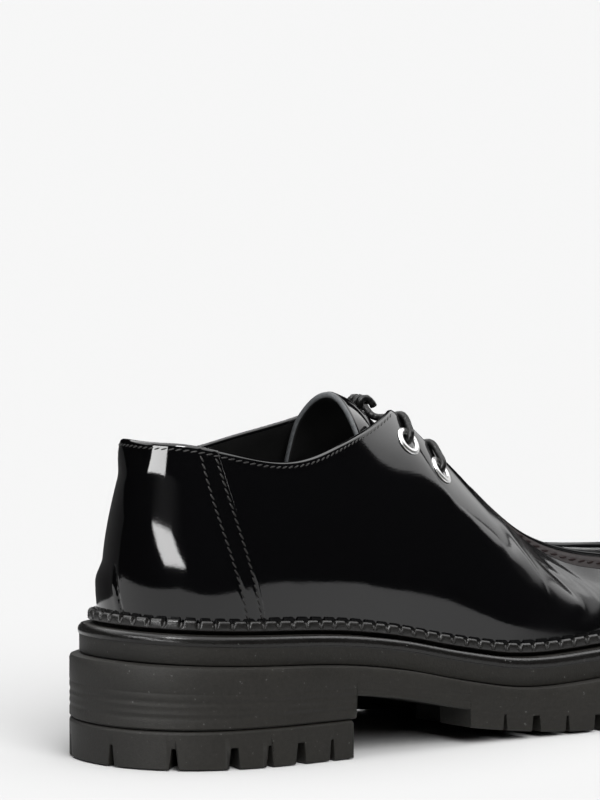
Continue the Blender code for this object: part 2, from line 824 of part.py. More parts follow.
def centre_on_floor(root):
    """Put the middle of the sole's footprint at the origin."""
    rim_points = [edge_point(FULL_TURN * step / 720, SOLE_EDGE, 0.0) for step in range(720)]
    middle = [(max(values) + min(values)) / 2.0 for values in zip(*rim_points)]
    root.location = Vector((-middle[0], -middle[1], 0.0)) * MM


clear_scene()
PARTS = collection("lace_up_shoe")
CUTTERS = collection("cutters")
ROOT = bpy.data.objects.new("shoe", None)
PARTS.objects.link(ROOT)
centre_on_floor(ROOT)
make_heel_top_piece()
make_outsole()
make_midsole()
make_welt()
make_insole()
make_upper()
make_heel_counter()
make_apron_seam()
make_tongue()
make_eyelets()
make_lower_bar()
make_upper_bars()
make_knot()
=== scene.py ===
"""Looks of the right lace-up shoe: a gloss leather apron-toe derby on a lugged rubber unit sole.

Sizes are in millimetres in the shoe's own frame, with X from the back of the sole to the toe, Y from the
lateral to the medial side and Z up. Each mesh is moved to the CAD frame and scaled to metres as it is made.
"""

import math

import bmesh
import bpy
import numpy as np
from mathutils import Matrix, Vector


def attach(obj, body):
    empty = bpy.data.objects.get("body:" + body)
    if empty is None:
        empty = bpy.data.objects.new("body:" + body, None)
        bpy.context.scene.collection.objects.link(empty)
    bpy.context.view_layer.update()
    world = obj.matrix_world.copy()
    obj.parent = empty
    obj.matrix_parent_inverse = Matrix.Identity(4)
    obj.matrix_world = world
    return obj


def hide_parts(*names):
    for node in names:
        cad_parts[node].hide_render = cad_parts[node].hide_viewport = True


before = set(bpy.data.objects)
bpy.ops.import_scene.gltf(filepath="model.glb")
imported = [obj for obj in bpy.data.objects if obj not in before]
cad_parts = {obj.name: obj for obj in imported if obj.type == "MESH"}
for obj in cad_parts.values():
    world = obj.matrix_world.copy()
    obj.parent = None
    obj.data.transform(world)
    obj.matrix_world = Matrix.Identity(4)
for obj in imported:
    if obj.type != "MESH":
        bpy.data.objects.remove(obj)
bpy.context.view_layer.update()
bpy.context.scene.view_settings.view_transform = "Standard"

# Camera: low behind the shoe on its lateral side, with a long lens, so that the toe runs out of the frame.
CAMERA_PLACE = (-1.4150, -1.4001, 0.2699)
CAMERA_TURN = -44.0
CAMERA_PITCH = 4.9
CAMERA_LENS = 292.5

camera = bpy.data.objects.new("camera", bpy.data.cameras.new("camera"))
camera.data.lens = CAMERA_LENS
camera.location = CAMERA_PLACE
camera.rotation_euler = (math.radians(90.0 - CAMERA_PITCH), 0.0, math.radians(CAMERA_TURN))
bpy.context.scene.collection.objects.link(camera)
bpy.context.scene.camera = camera

# Stage: a white table under an evenly lit ceiling, in a room that is dark at the sides, with a soft fill for
# matte surfaces. The softboxes only show in glossy surfaces. The table ends behind the heel and beside the
# shoe, and a dark card on the left shows only in reflections: both give the leather its dark parts.
TABLE_LOW = (-0.70, -0.30)
TABLE_HIGH = (14.0, 14.0)
TABLE_DROP = 0.0003
TABLE_ALBEDO = 0.482
STAGE_ROUGHNESS = 0.9
CEILING_EDGE = 48.0
CEILING_SOFT = 3.0
CEILING_LIGHT = 2.58
ROOM_LIGHT = 0.004
CARD_ENDS = ((-0.236, 0.290), (0.060, 0.300))
CARD_HEIGHT = 0.10
CARD_ALBEDO = 0.04
FILL_FROM = (-0.340, -0.734, 0.588)
FILL_LIGHT = 4.08
FILL_ANGLE = 40.0
FOOT_FADE = 0.45
SOFTBOXES = (
    # name, centre, way its width runs, way its height runs,
    # width, height, radiance, share left at its foot, slant, softness of its sides
    ("front", (0.968, -0.206, 0.855), (0.425, 0.837, -0.345), (-0.265, 0.480, 0.836),
     0.95, 0.58, 3.0, 0.40, 0.0, 0.02),
    ("throat", (0.962, 0.150, 0.245), (-0.318, 0.933, 0.171), (-0.17, -0.05, 0.98),
     0.66, 0.320, 0.95, 0.4, 0.0, 0.06),
    ("heel_high", (-1.080, 0.286, 0.553), (-0.29, -0.947, 0.139), (0.0, 0.0, 1.0),
     0.61, 0.19, 13.0, 1.0, 0.0, 0.05),
    ("heel_low", (-0.956, -0.159, 0.200), (0.174, -0.985, 0.0), (0.0, 0.0, 1.0),
     0.86, 0.161, 13.0, 1.0, -0.41, 0.05),
    ("heel_haze", (-1.180, -0.060, 0.400), (0.087, -0.996, 0.0), (0.0, 0.0, 1.0),
     1.10, 0.26, 0.16, 0.0, 0.0, 0.48),
    ("heel_lip", (-0.646, -0.207, 0.854), (0.30, -0.95, 0.0), (0.55, 0.17, 0.57),
     0.24, 0.24, 32.0, 1.0, 0.0, 0.05),
    ("back", (-0.20, 0.921, 0.829), (-1.0, 0.0, 0.0), (0.0, -0.62, 0.78),
     1.80, 0.42, 2.2, 1.0, 0.0, 0.05),
)


def flat_material(name, grey):
    made = bpy.data.materials.new(name)
    made.use_nodes = True
    shader = made.node_tree.nodes["Principled BSDF"]
    shader.inputs["Base Color"].default_value = (grey, grey, grey, 1.0)
    shader.inputs["Roughness"].default_value = STAGE_ROUGHNESS
    shader.inputs["Specular IOR Level"].default_value = 0.0
    return made


def stage_sheet(name, origin, across, upward, material):
    """A flat sheet spread from a corner along two edges."""
    mesh = bmesh.new()
    for vertex in bmesh.ops.create_grid(mesh, x_segments=1, y_segments=1, size=0.5)["verts"]:
        spread = Vector(across) * (vertex.co.x + 0.5) + Vector(upward) * (vertex.co.y + 0.5)
        vertex.co = Vector(origin) + spread
    data = bpy.data.meshes.new(name)
    mesh.to_mesh(data)
    mesh.free()
    data.materials.append(material)
    made = bpy.data.objects.new(name, data)
    bpy.context.scene.collection.objects.link(made)
    return made


stage_sheet("table", (*TABLE_LOW, -TABLE_DROP), (TABLE_HIGH[0] - TABLE_LOW[0], 0.0, 0.0),
            (0.0, TABLE_HIGH[1] - TABLE_LOW[1], 0.0), flat_material("white_table", TABLE_ALBEDO))
card = stage_sheet("dark_card", (*CARD_ENDS[0], 0.0), [end - start for start, end in zip(*CARD_ENDS)] + [0.0],
                   (0.0, 0.0, CARD_HEIGHT), flat_material("dark_card", CARD_ALBEDO))
card.visible_camera = False
card.visible_diffuse = False
card.visible_shadow = False


def math_node(nodes, links, operation, *values):
    """A Math node that takes numbers or the outputs of other nodes."""
    made = nodes.new("ShaderNodeMath")
    made.operation = operation
    for socket, value in zip(made.inputs, values):
        if isinstance(value, bpy.types.NodeSocket):
            links.new(value, socket)
        else:
            socket.default_value = value
    return made.outputs["Value"]


def range_node(nodes, links, value, span, results, interpolation="SMOOTHSTEP"):
    """A Map Range node that turns a span of a value into a span of results."""
    made = nodes.new("ShaderNodeMapRange")
    made.interpolation_type = interpolation
    for name, number in zip(("From Min", "From Max", "To Min", "To Max"), (*span, *results)):
        made.inputs[name].default_value = number
    links.new(value, made.inputs["Value"])
    return made.outputs["Result"]


for name, centre, across, upward, width, height, radiance, foot, slant, soft in SOFTBOXES:
    light = bpy.data.lights.new(name, "AREA")
    light.shape = "RECTANGLE"
    light.size = width
    light.size_y = height
    light.energy = radiance * math.pi * width * height
    light.use_nodes = True
    glow = light.node_tree.nodes
    wires = light.node_tree.links
    spot = glow.new("ShaderNodeSeparateXYZ")
    wires.new(glow.new("ShaderNodeNewGeometry").outputs["Parametric"], spot.inputs["Vector"])
    fade = range_node(glow, wires, spot.outputs["Y"], (0.0, FOOT_FADE), (foot, 1.0))
    slide = math_node(glow, wires, "MULTIPLY_ADD", spot.outputs["Y"], -slant, spot.outputs["X"])
    aside = math_node(glow, wires, "SUBTRACT", slide, (1.0 - slant) / 2.0)
    side = (1.0 - abs(slant)) / 2.0
    lit = range_node(glow, wires, math_node(glow, wires, "ABSOLUTE", aside), (side, side - soft), (0.0, 1.0))
    wires.new(math_node(glow, wires, "MULTIPLY", fade, lit), glow["Emission"].inputs["Strength"])
    across = Vector(across).normalized()
    upward = (Vector(upward) - across * across.dot(Vector(upward))).normalized()
    box = bpy.data.objects.new(name, light)
    box.location = centre
    box.rotation_euler = Matrix((across, upward, across.cross(upward))).transposed().to_euler()
    box.visible_diffuse = False
    box.visible_camera = False
    bpy.context.scene.collection.objects.link(box)

fill = bpy.data.objects.new("fill", bpy.data.lights.new("fill", "SUN"))
fill.data.energy = FILL_LIGHT
fill.data.angle = math.radians(FILL_ANGLE)
fill.rotation_euler = Vector(FILL_FROM).to_track_quat("Z", "Y").to_euler()
fill.visible_glossy = False
bpy.context.scene.collection.objects.link(fill)

world = bpy.data.worlds.new("studio")
world.use_nodes = True
sky = world.node_tree.nodes
rays = world.node_tree.links
split = sky.new("ShaderNodeSeparateXYZ")
rays.new(sky.new("ShaderNodeTexCoord").outputs["Generated"], split.inputs["Vector"])
ceiling_span = [math.sin(math.radians(CEILING_EDGE + side * CEILING_SOFT)) for side in (-1.0, 1.0)]
ceiling = range_node(sky, rays, split.outputs["Z"], ceiling_span, (ROOM_LIGHT, CEILING_LIGHT), "LINEAR")
rays.new(ceiling, sky["Background"].inputs["Strength"])
sky["Background"].inputs["Color"].default_value = (1.0, 1.0, 1.0, 1.0)
bpy.context.scene.world = world

# Heel top piece: a lugged rubber lift moulded in one with notches round its edge and a hollow tread,
# glued under the heel block. The last's outline, which every layer of the shoe follows, comes first.
MM = 0.001
PLACE = np.array((-141.5, 0.361, 0.0))
GAP = 0.3
LAST_START = 9.5
LAST_LENGTH = 264.0
SOLE_EDGE = 9.5
HEEL_SPLIT = 11.4
BREAST_X = 63.6
BLOCK_X = 65.0
LUG_BAND = 14.5
LUG_END = 11.0
TREAD_DEPTH = 5.0
STEP = 0.4
LUG_SIDES = 6
LUG_TAPER = 0.92
LUG_ROOT = 2.0
HEEL_BEVEL = 0.7
HEEL_SEARCH_X = 105.0
HEEL_ROUND = 0.35
HEEL_NOTCH = 6.3
NOTCH_OVERCUT = 3.0
BACK_NOTCH = (0.021, 3.2, 0.35)  # turn, width at the floor, share of it left at the top
MERGE = 0.004
SLIVER = 0.002
HALF_TURN = math.pi
FULL_TURN = 2.0 * math.pi
OUTLINE = (
    # share of the last's length, lateral, medial
    (0.00, 0.0, 0.0),
    (0.03, 19.1, 21.4),
    (0.08, 25.7, 27.4),
    (0.16, 29.1, 29.1),
    (0.27, 31.4, 28.2),
    (0.38, 33.4, 26.8),
    (0.50, 37.4, 27.8),
    (0.60, 40.9, 33.2),
    (0.70, 42.7, 39.8),
    (0.78, 41.7, 42.0),
    (0.86, 37.0, 39.2),
    (0.93, 27.8, 31.2),
    (1.00, -3.0, 3.0),
)
HEEL_NOTCHES = (
    # x on the sole's edge, width at the floor, share of it left at the top
    (6.8, 3.6, 0.35),
    (21.2, 4.0, 0.55),
    (32.3, 3.1, 0.35),
    (43.2, 4.4, 0.55),
    (54.7, 2.6, 0.35),
)
HEEL_LUGS = (
    # x, y, radius
    (34.0, 0.0, 11.0),
)


def spline(knots, values):
    """Natural cubic spline through the values at the knots, for one place or an array of them."""
    knots = np.asarray(knots, dtype=float)
    values = np.asarray(values, dtype=float)
    steps = np.diff(knots)
    slopes = np.diff(values) / steps
    matrix = np.eye(len(knots))
    right = np.zeros(len(knots))
    for row in range(1, len(knots) - 1):
        matrix[row, row - 1:row + 2] = (steps[row - 1], 2.0 * (steps[row - 1] + steps[row]), steps[row])
        right[row] = 6.0 * (slopes[row] - slopes[row - 1])
    bends = np.linalg.solve(matrix, right)

    def evaluate(at):
        left = np.clip(np.searchsorted(knots, at) - 1, 0, len(knots) - 2)
        before = (knots[left + 1] - at) / steps[left]
        after = 1.0 - before
        curve = (before ** 3 - before) * bends[left] + (after ** 3 - after) * bends[left + 1]
        return before * values[left] + after * values[left + 1] + curve * steps[left] ** 2 / 6.0

    return evaluate


def turn_at(x):
    """Angle of the lateral outline at a place along the shoe: 0 at the heel, half a turn at the toe."""
    return np.arccos(np.clip(1.0 - 2.0 * (x - LAST_START) / LAST_LENGTH, -1.0, 1.0))


def along(turn):
    return LAST_START + LAST_LENGTH * (1.0 - np.cos(turn)) / 2.0


def outline_spline():
    """The feather edge's Y round the whole outline, lateral side first, smooth across heel and toe."""
    rows = [(turn_at(LAST_START + share * LAST_LENGTH), -lateral) for share, lateral, _ in OUTLINE]
    rows += [(FULL_TURN - turn_at(LAST_START + share * LAST_LENGTH), medial)
             for share, _, medial in reversed(OUTLINE[1:-1])]
    laps = [(turn + lap * FULL_TURN, y) for lap in (-1, 0, 1) for turn, y in rows]
    return spline(*zip(*laps))


EDGE_Y = outline_spline()


def outward(turn):
    """Plan normal of the feather edge, pointing out of the shoe."""
    step = 1e-3
    run = along(turn + step) - along(turn - step)
    drift = EDGE_Y((turn + step) % FULL_TURN) - EDGE_Y((turn - step) % FULL_TURN)
    size = np.hypot(run, drift)
    return drift / size, -run / size


def edge_points(turn, offset, height):
    """Points at a distance outside the feather edge, at a given height."""
    out_x, out_y = outward(turn)
    return np.stack(np.broadcast_arrays(along(turn) + out_x * offset,
                                        EDGE_Y(turn % FULL_TURN) + out_y * offset, height), axis=-1)


def stations(start_x, end_x, count):
    """Turns along the lateral side, spaced evenly in angle, so that they gather at heel and toe."""
    return np.linspace(turn_at(start_x), turn_at(end_x), count + 1)


def sheet(mesh, places, finish=0):
    """A grid of quads whose points are an array of columns by rows."""
    columns, rows = places.shape[0] - 1, places.shape[1] - 1
    made = bmesh.ops.create_grid(mesh, x_segments=columns, y_segments=rows, size=0.5)
    framed = (places + PLACE) * MM
    for vertex in made["verts"]:
        vertex.co = framed[round((vertex.co.x + 0.5) * columns), round((vertex.co.y + 0.5) * rows)]
    for face in {face for vertex in made["verts"] for face in vertex.link_faces}:
        face.material_index = finish
    return made["verts"]


def add_piece(mesh, name, finishes, stands_for=(), close=True, smooth_angle=40.0):
    """Turn a mesh into a piece that rides on the shoe and takes the place of its CAD nodes."""
    bmesh.ops.remove_doubles(mesh, verts=mesh.verts, dist=MERGE * MM)
    bmesh.ops.dissolve_degenerate(mesh, dist=SLIVER * MM, edges=mesh.edges)
    if close:
        bmesh.ops.edgeloop_fill(mesh, edges=[edge for edge in mesh.edges if edge.is_boundary])
    bmesh.ops.recalc_face_normals(mesh, faces=mesh.faces)
    data = bpy.data.meshes.new(name)
    mesh.to_mesh(data)
    mesh.free()
    for finish in finishes:
        data.materials.append(finish)
    data.shade_smooth()
    data.set_sharp_from_angle(angle=math.radians(smooth_angle))
    piece = bpy.data.objects.new(name, data)
    bpy.context.scene.collection.objects.link(piece)
    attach(piece, "root")
    if stands_for:
        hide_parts(*stands_for)
    return piece


def slab(turns, section):
    """Mesh of a layer across the shoe: section lists one side's offsets and heights, low to high."""
    mesh = bmesh.new()
    lateral = [edge_points(turns, offset, height) for offset, height in section(turns)]
    medial = [edge_points(FULL_TURN - turns, offset, height) for offset, height in section(turns)]
    ring = lateral + medial[::-1]
    sheet(mesh, np.stack(ring + ring[:1], axis=1))
    return mesh


def notch(mesh, turn, width, taper, tall, floor):
    """One tapered slot across the sole's edge, as a box with its top narrowed."""
    centre = Vector(edge_points(turn, SOLE_EDGE, floor) + PLACE)
    out = Vector((*outward(turn), 0.0))
    side = Vector((-out.y, out.x, 0.0))
    for vertex in bmesh.ops.create_cube(mesh, size=1.0)["verts"]:
        across, depth, high = vertex.co
        narrowing = taper if high > 0.0 else 1.0
        reach = NOTCH_OVERCUT if depth > 0.0 else -LUG_BAND - 1.0
        height = tall if high > 0.0 else -NOTCH_OVERCUT
        place = centre + side * (across * width * narrowing) + out * reach
        vertex.co = Vector((place.x, place.y, floor + height)) * MM


def lug(mesh, x, y, radius, low, high):
    """One tread block: a tapered prism between two heights."""
    made = bmesh.ops.create_cone(mesh, cap_ends=True, segments=LUG_SIDES, radius1=radius,
                                 radius2=radius * LUG_TAPER, depth=high - low)
    for vertex in made["verts"]:
        vertex.co = (vertex.co + Vector((x, y, (low + high) / 2.0)) + Vector(PLACE)) * MM


def carve(piece, cutters, operation):
    """Cut a piece by closed shapes, or join them to it, and keep the result as its mesh."""
    whole = bmesh.new()
    whole.from_mesh(piece.data)
    bmesh.ops.triangulate(whole, faces=whole.faces)
    whole.to_mesh(piece.data)
    whole.free()
    bmesh.ops.recalc_face_normals(cutters, faces=cutters.faces)
    data = bpy.data.meshes.new("cutters")
    cutters.to_mesh(data)
    cutters.free()
    tool = bpy.data.objects.new("cutters", data)
    bpy.context.scene.collection.objects.link(tool)
    change = piece.modifiers.new("carve", "BOOLEAN")
    change.operation = operation
    change.object = tool
    graph = bpy.context.evaluated_depsgraph_get()
    carved = bpy.data.meshes.new_from_object(piece.evaluated_get(graph))
    piece.modifiers.remove(change)
    piece.data = carved
    bpy.data.objects.remove(tool, do_unlink=True)


def soften(piece, width, angle=38.0):
    """Round a piece's sharp edges a little, as a mould does."""
    bevel = piece.modifiers.new("soft_edges", "BEVEL")
    bevel.width = width * MM
    bevel.segments = 2
    bevel.limit_method = "ANGLE"
    bevel.angle_limit = math.radians(angle)
    bevel.use_clamp_overlap = False
    bevel.harden_normals = False


def new_material(name):
    made = bpy.data.materials.new(name)
    made.use_nodes = True
    return made, made.node_tree.nodes, made.node_tree.links, made.node_tree.nodes["Principled BSDF"]


GRAIN_INPUTS = ("Scale", "Detail", "Strength", "Distance")


def grain_group():
    """The fine random grain that every finish of the shoe has, as a value and as a bumped normal."""
    made = bpy.data.node_groups.new("surface_grain", "ShaderNodeTree")
    for name in GRAIN_INPUTS:
        made.interface.new_socket(name, in_out="INPUT", socket_type="NodeSocketFloat")
    made.interface.new_socket("Fac", in_out="OUTPUT", socket_type="NodeSocketFloat")
    made.interface.new_socket("Normal", in_out="OUTPUT", socket_type="NodeSocketVector")
    given = made.nodes.new("NodeGroupInput").outputs
    result = made.nodes.new("NodeGroupOutput").inputs
    texture = made.nodes.new("ShaderNodeTexNoise")
    bump = made.nodes.new("ShaderNodeBump")
    made.links.new(made.nodes.new("ShaderNodeTexCoord").outputs["Object"], texture.inputs["Vector"])
    for name, taker in zip(GRAIN_INPUTS, (texture, texture, bump, bump)):
        made.links.new(given[name], taker.inputs[name])
    made.links.new(texture.outputs["Fac"], bump.inputs["Height"])
    made.links.new(texture.outputs["Fac"], result["Fac"])
    made.links.new(bump.outputs["Normal"], result["Normal"])
    return made


SURFACE_GRAIN = grain_group()


def surface_grain(nodes, *values):
    """The shared grain in a material, with its scale and detail, and its bump's strength and distance."""
    made = nodes.new("ShaderNodeGroup")
    made.node_tree = SURFACE_GRAIN
    for name, value in zip(GRAIN_INPUTS, values):
        made.inputs[name].default_value = value
    return made.outputs


def ramp(nodes, links, value, span, dark, light):
    """Turn a span of a value into a range of grey or of colour."""
    made = nodes.new("ShaderNodeValToRGB")
    for element, position, colour in zip(made.color_ramp.elements, span, (dark, light)):
        element.position = position
        element.color = (*colour, 1.0)
    links.new(value, made.inputs["Fac"])
    return made.outputs["Color"]


RUBBER_CLOUD = (60.0, 4.0)
RUBBER_SPECK = (900.0, 2.0)
RUBBER_GRAIN = (1600.0, 3.0, 0.25, 0.0003)
RUBBER_WORN = 1.35
RUBBER_SHINE = (-0.06, 0.08)
DUST_COLOUR = (0.08, 0.08, 0.078)
DUST_SPAN = (0.715, 0.78)
MIDDLE_SPAN = (0.3, 0.7)
BLACK = (0.0, 0.0, 0.0)
WHITE = (1.0, 1.0, 1.0)


def rubber_material(name, colour, roughness, specular):
    """Moulded black rubber: a fine mould grain, soft cloudy wear and pale specks of dust."""
    made, nodes, links, shader = new_material(name)
    cloud = surface_grain(nodes, *RUBBER_CLOUD)["Fac"]
    speck = surface_grain(nodes, *RUBBER_SPECK)["Fac"]
    mottle = nodes.new("ShaderNodeMix")
    links.new(cloud, mottle.inputs["A"])
    links.new(speck, mottle.inputs["B"])
    worn = [RUBBER_WORN * part for part in colour]
    base = ramp(nodes, links, mottle.outputs["Result"], (0.4, 0.62), colour, worn)
    mix = nodes.new("ShaderNodeMix")
    mix.data_type = "RGBA"
    mix.inputs["B"].default_value = (*DUST_COLOUR, 1.0)
    links.new(ramp(nodes, links, speck, DUST_SPAN, BLACK, WHITE), mix.inputs["Factor"])
    links.new(base, mix.inputs["A"])
    links.new(mix.outputs["Result"], shader.inputs["Base Color"])
    shine = ramp(nodes, links, cloud, MIDDLE_SPAN, *[[roughness + change] * 3 for change in RUBBER_SHINE])
    links.new(shine, shader.inputs["Roughness"])
    shader.inputs["Specular IOR Level"].default_value = specular
    links.new(surface_grain(nodes, *RUBBER_GRAIN)["Normal"], shader.inputs["Normal"])
    return made


SOLE_RUBBER = rubber_material("sole_rubber", (0.0104, 0.0098, 0.0085), 0.6, 0.28)


def sole_turn(x):
    """Turn whose point on the sole's edge lies at x, on the heel's lateral side."""
    turns = np.linspace(0.0, turn_at(HEEL_SEARCH_X), 400)
    return float(np.interp(x, edge_points(turns, SOLE_EDGE, 0.0)[:, 0], turns))


def heel_section(turns):
    hollow = np.where(along(turns) < BREAST_X - LUG_END + STEP / 2.0, TREAD_DEPTH, 0.0)
    inner = SOLE_EDGE - LUG_BAND
    return ((inner, hollow), (inner, 0.0 * turns), (SOLE_EDGE, 0.0), (SOLE_EDGE, HEEL_SPLIT - HEEL_BEVEL),
            (SOLE_EDGE - HEEL_BEVEL, HEEL_SPLIT))


heel_front = BREAST_X - LUG_END
heel_turns = np.concatenate((stations(LAST_START, heel_front, 48), stations(heel_front + STEP, BREAST_X, 6)))
heel = add_piece(slab(heel_turns, heel_section), "heel_top_piece_rubber", [SOLE_RUBBER],
                 ["heel_top_piece"])
heel_cuts = bmesh.new()
notch(heel_cuts, *BACK_NOTCH, HEEL_NOTCH, 0.0)
for x, width, taper in HEEL_NOTCHES:
    for side in (1.0, -1.0):
        notch(heel_cuts, side * sole_turn(x), width, taper, HEEL_NOTCH, 0.0)
carve(heel, heel_cuts, "DIFFERENCE")
heel_tread = bmesh.new()
for x, y, radius in HEEL_LUGS:
    lug(heel_tread, x, y, radius, 0.0, TREAD_DEPTH + LUG_ROOT)
carve(heel, heel_tread, "UNION")
soften(heel, HEEL_ROUND)

# Outsole: the rubber unit with the heel block, the waist and the forefoot's lugs, moulded with fine
# grooves round its side. Its rim stands out under the midsole.
MIDSOLE_THICK = 8.6
WAIST_THICK = 8.7
LUG_START_X = 110.0
FLAT_X = (172.0, 204.0)
REAR_RISE = 5.0
TOE_SPRING = 6.0
TOE_SPRING_POWER = 1.7
FORE_START = 7.4
FORE_PITCH = 12.0
FORE_NOTCH = 4.9
FORE_NOTCHES = ((2.4, 0.35), (4.3, 0.6))  # width at the floor, share of it left at the top
FOOT_BEVEL = 0.5
TOP_BEVEL = ((0.0, 1.4), (0.4, 0.4), (1.4, 0.0))  # inward of the edge, depth under the top
RIB_STEPS = (-1.0, -0.5, 0.0, 0.5, 1.0)
RIB_FADE = 0.35
RIB_FULL_HEIGHT = 20.0
RIBS = (
    # share of the side's height, depth, half width
    (0.19, 0.26, 1.1),
    (0.31, 0.16, 1.1),
    (0.43, 0.26, 1.1),
    (0.57, 0.12, 0.6),
)
FORE_LUGS = (
    # x, y, radius
    (140.0, -2.0, 10.0),
    (166.0, -3.0, 12.0),
    (194.0, -1.0, 13.0),
    (222.0, 1.0, 12.0),
    (247.0, 2.5, 9.0),
)
SEAT = (
    # x, height of the midsole's top face
    (9.5, 39.8),
    (30.0, 38.4),
    (62.0, 36.4),
    (77.0, 34.5),
    (90.0, 32.2),
    (103.0, 29.3),
    (116.0, 26.7),
    (130.0, 24.4),
    (145.0, 23.8),
    (160.0, 24.5),
    (180.0, 25.6),
    (205.0, 26.7),
    (230.0, 28.0),
    (255.0, 29.6),
    (273.5, 31.0),
)
SEAT_HEIGHT = spline(*zip(*SEAT))


def seat(turn):
    return SEAT_HEIGHT(along(turn))


def ground(x):
    """The tread's lowest line: flat under the ball, rising to the waist and to the toe."""
    toe = LAST_START + LAST_LENGTH + SOLE_EDGE
    rear = np.clip((FLAT_X[0] - x) / (FLAT_X[0] - LUG_START_X), 0.0, None)
    front = np.clip((x - FLAT_X[1]) / (toe - FLAT_X[1]), 0.0, None)
    return REAR_RISE * rear ** 2 + TOE_SPRING * front ** TOE_SPRING_POWER


def outsole_section(turns):
    x = along(turns)
    top = seat(turns) - MIDSOLE_THICK - GAP
    tread = x > LUG_START_X - STEP / 2.0
    low = np.where(x < BLOCK_X - STEP / 2.0, HEEL_SPLIT + GAP,
                   np.where(x < LUG_START_X - STEP / 2.0, top - WAIST_THICK, ground(x)))
    inner = SOLE_EDGE - LUG_BAND
    points = [(inner, low + np.where(tread, TREAD_DEPTH, 0.0)), (inner, low),
              (SOLE_EDGE - FOOT_BEVEL, low), (SOLE_EDGE, low + FOOT_BEVEL)]
    deep = np.where(x < BLOCK_X, 1.0, RIB_FADE)
    for share, depth, half in RIBS:
        middle = low + (top - low) * share
        for step in RIB_STEPS:
            points.append((SOLE_EDGE - depth * deep * (1.0 + math.cos(math.pi * step)) / 2.0,
                           middle + half * step * np.minimum(1.0, (top - low) / RIB_FULL_HEIGHT)))
    return points + [(SOLE_EDGE - inward, top - down) for inward, down in TOP_BEVEL]


def way_along(points):
    """How far along a line of points each of them lies."""
    return np.concatenate(((0.0,), np.cumsum(np.linalg.norm(np.diff(points, axis=0), axis=1))))


def walk(start, end, pitch):
    """Turns along the sole's edge at an even pitch, the first half a pitch from the start."""
    turns = np.linspace(start, end, 3000)
    travelled = way_along(edge_points(turns, SOLE_EDGE, 0.0))
    return np.interp(np.arange(pitch / 2.0, travelled[-1], pitch), travelled, turns)


sole_turns = np.concatenate((stations(LAST_START, BLOCK_X - STEP, 48),
                             stations(BLOCK_X, LUG_START_X - STEP, 14),
                             stations(LUG_START_X, LAST_START + LAST_LENGTH, 90)))
outsole = add_piece(slab(sole_turns, outsole_section), "outsole_rubber", [SOLE_RUBBER],
                    ["outsole"])
fore_cuts = bmesh.new()
first_notch = float(turn_at(LUG_START_X + FORE_START))
for count, turn in enumerate(walk(first_notch, FULL_TURN - first_notch, FORE_PITCH)):
    notch(fore_cuts, turn, *FORE_NOTCHES[count % len(FORE_NOTCHES)], FORE_NOTCH, float(ground(along(turn))))
carve(outsole, fore_cuts, "DIFFERENCE")
fore_tread = bmesh.new()
for x, y, radius in FORE_LUGS:
    lug(fore_tread, x, y, radius, float(ground(x)), float(ground(x)) + TREAD_DEPTH + LUG_ROOT)
carve(outsole, fore_tread, "UNION")

# Midsole: a moulded rubber layer glued on the outsole and set back from its edge. A smoother rounded lip
# runs round its upper edge, under the welt.
MIDSOLE_EDGE = 7.0
MIDSOLE_LIP = 3.0
MIDSOLE_STEP = 0.45
MIDSOLE_SIDE = (
    # inward of the midsole's set-back side, height over its foot
    (0.2, 0.0),
    (0.0, 0.4),
)
LIP_FOOT = (
    # inward of the midsole's set-back side, depth under the lip
    (0.0, 0.35),
    (-0.05, 0.1),
)
LIP_ROUND = (1.7, 2.1)  # radius across and up
LIP_SWING = (-25.0, 90.0)
LIP_FINISH = 0.4
UPRIGHT = 0.99
LIP_RUBBER = rubber_material("lip_rubber", (0.0050, 0.0048, 0.0045), 0.20, 0.33)


def midsole_section(turns):
    top = seat(turns)
    back = MIDSOLE_EDGE - MIDSOLE_STEP
    points = [(back - inward, top - MIDSOLE_THICK + rise) for inward, rise in MIDSOLE_SIDE]
    points += [(back - inward, top - MIDSOLE_LIP - down) for inward, down in LIP_FOOT]
    for angle in np.linspace(*LIP_SWING, 10):
        swing = math.radians(angle)
        points.append((MIDSOLE_EDGE - LIP_ROUND[0] * (1.0 - math.cos(swing)),
                       top - LIP_ROUND[1] * (1.0 - math.sin(swing))))
    return points


midsole_turns = stations(LAST_START, LAST_START + LAST_LENGTH, 140)
midsole = add_piece(slab(midsole_turns, midsole_section), "midsole_rubber", [SOLE_RUBBER, LIP_RUBBER],
                    ["midsole"])
for face in midsole.data.polygons:
    x = face.center.x / MM - PLACE[0]
    lip = SEAT_HEIGHT(x) - MIDSOLE_LIP - LIP_FINISH
    face.material_index = 1 if face.center.z / MM > lip and abs(face.normal.z) < UPRIGHT else 0

# Insole: a leather sock cut to the last, with a rounded edge. It is glued inside on the midsole and closes
# the upper underneath.
LINING_COLOUR = (0.004, 0.004, 0.004)
LINING_WORN = 1.5
LINING_CLOUD = (120.0, 4.0)
LINING_GRAIN = (1300.0, 3.0, 0.3, 0.0003)


def lining_material():
    """Black lining leather: matte, with a fine open grain."""
    made, nodes, links, shader = new_material("lining_leather")
    cloud = surface_grain(nodes, *LINING_CLOUD)["Fac"]
    worn = [LINING_WORN * part for part in LINING_COLOUR]
    links.new(ramp(nodes, links, cloud, MIDDLE_SPAN, LINING_COLOUR, worn), shader.inputs["Base Color"])
    shader.inputs["Roughness"].default_value = 0.6
    links.new(surface_grain(nodes, *LINING_GRAIN)["Normal"], shader.inputs["Normal"])
    return made


LINING = lining_material()
INSOLE_THICK = 3.0
INSOLE_EDGE = (
    # inward of the insole's side, depth under its top
    (0.0, 0.8),
    (0.3, 0.2),
    (1.0, 0.0),
)
WALL_THICK = 1.8


def insole_section(turns):
    inner = -(WALL_THICK + 2.0 * GAP)
    low = seat(turns) + GAP
    return [(inner, low)] + [(inner - inward, low + INSOLE_THICK - down) for inward, down in INSOLE_EDGE]


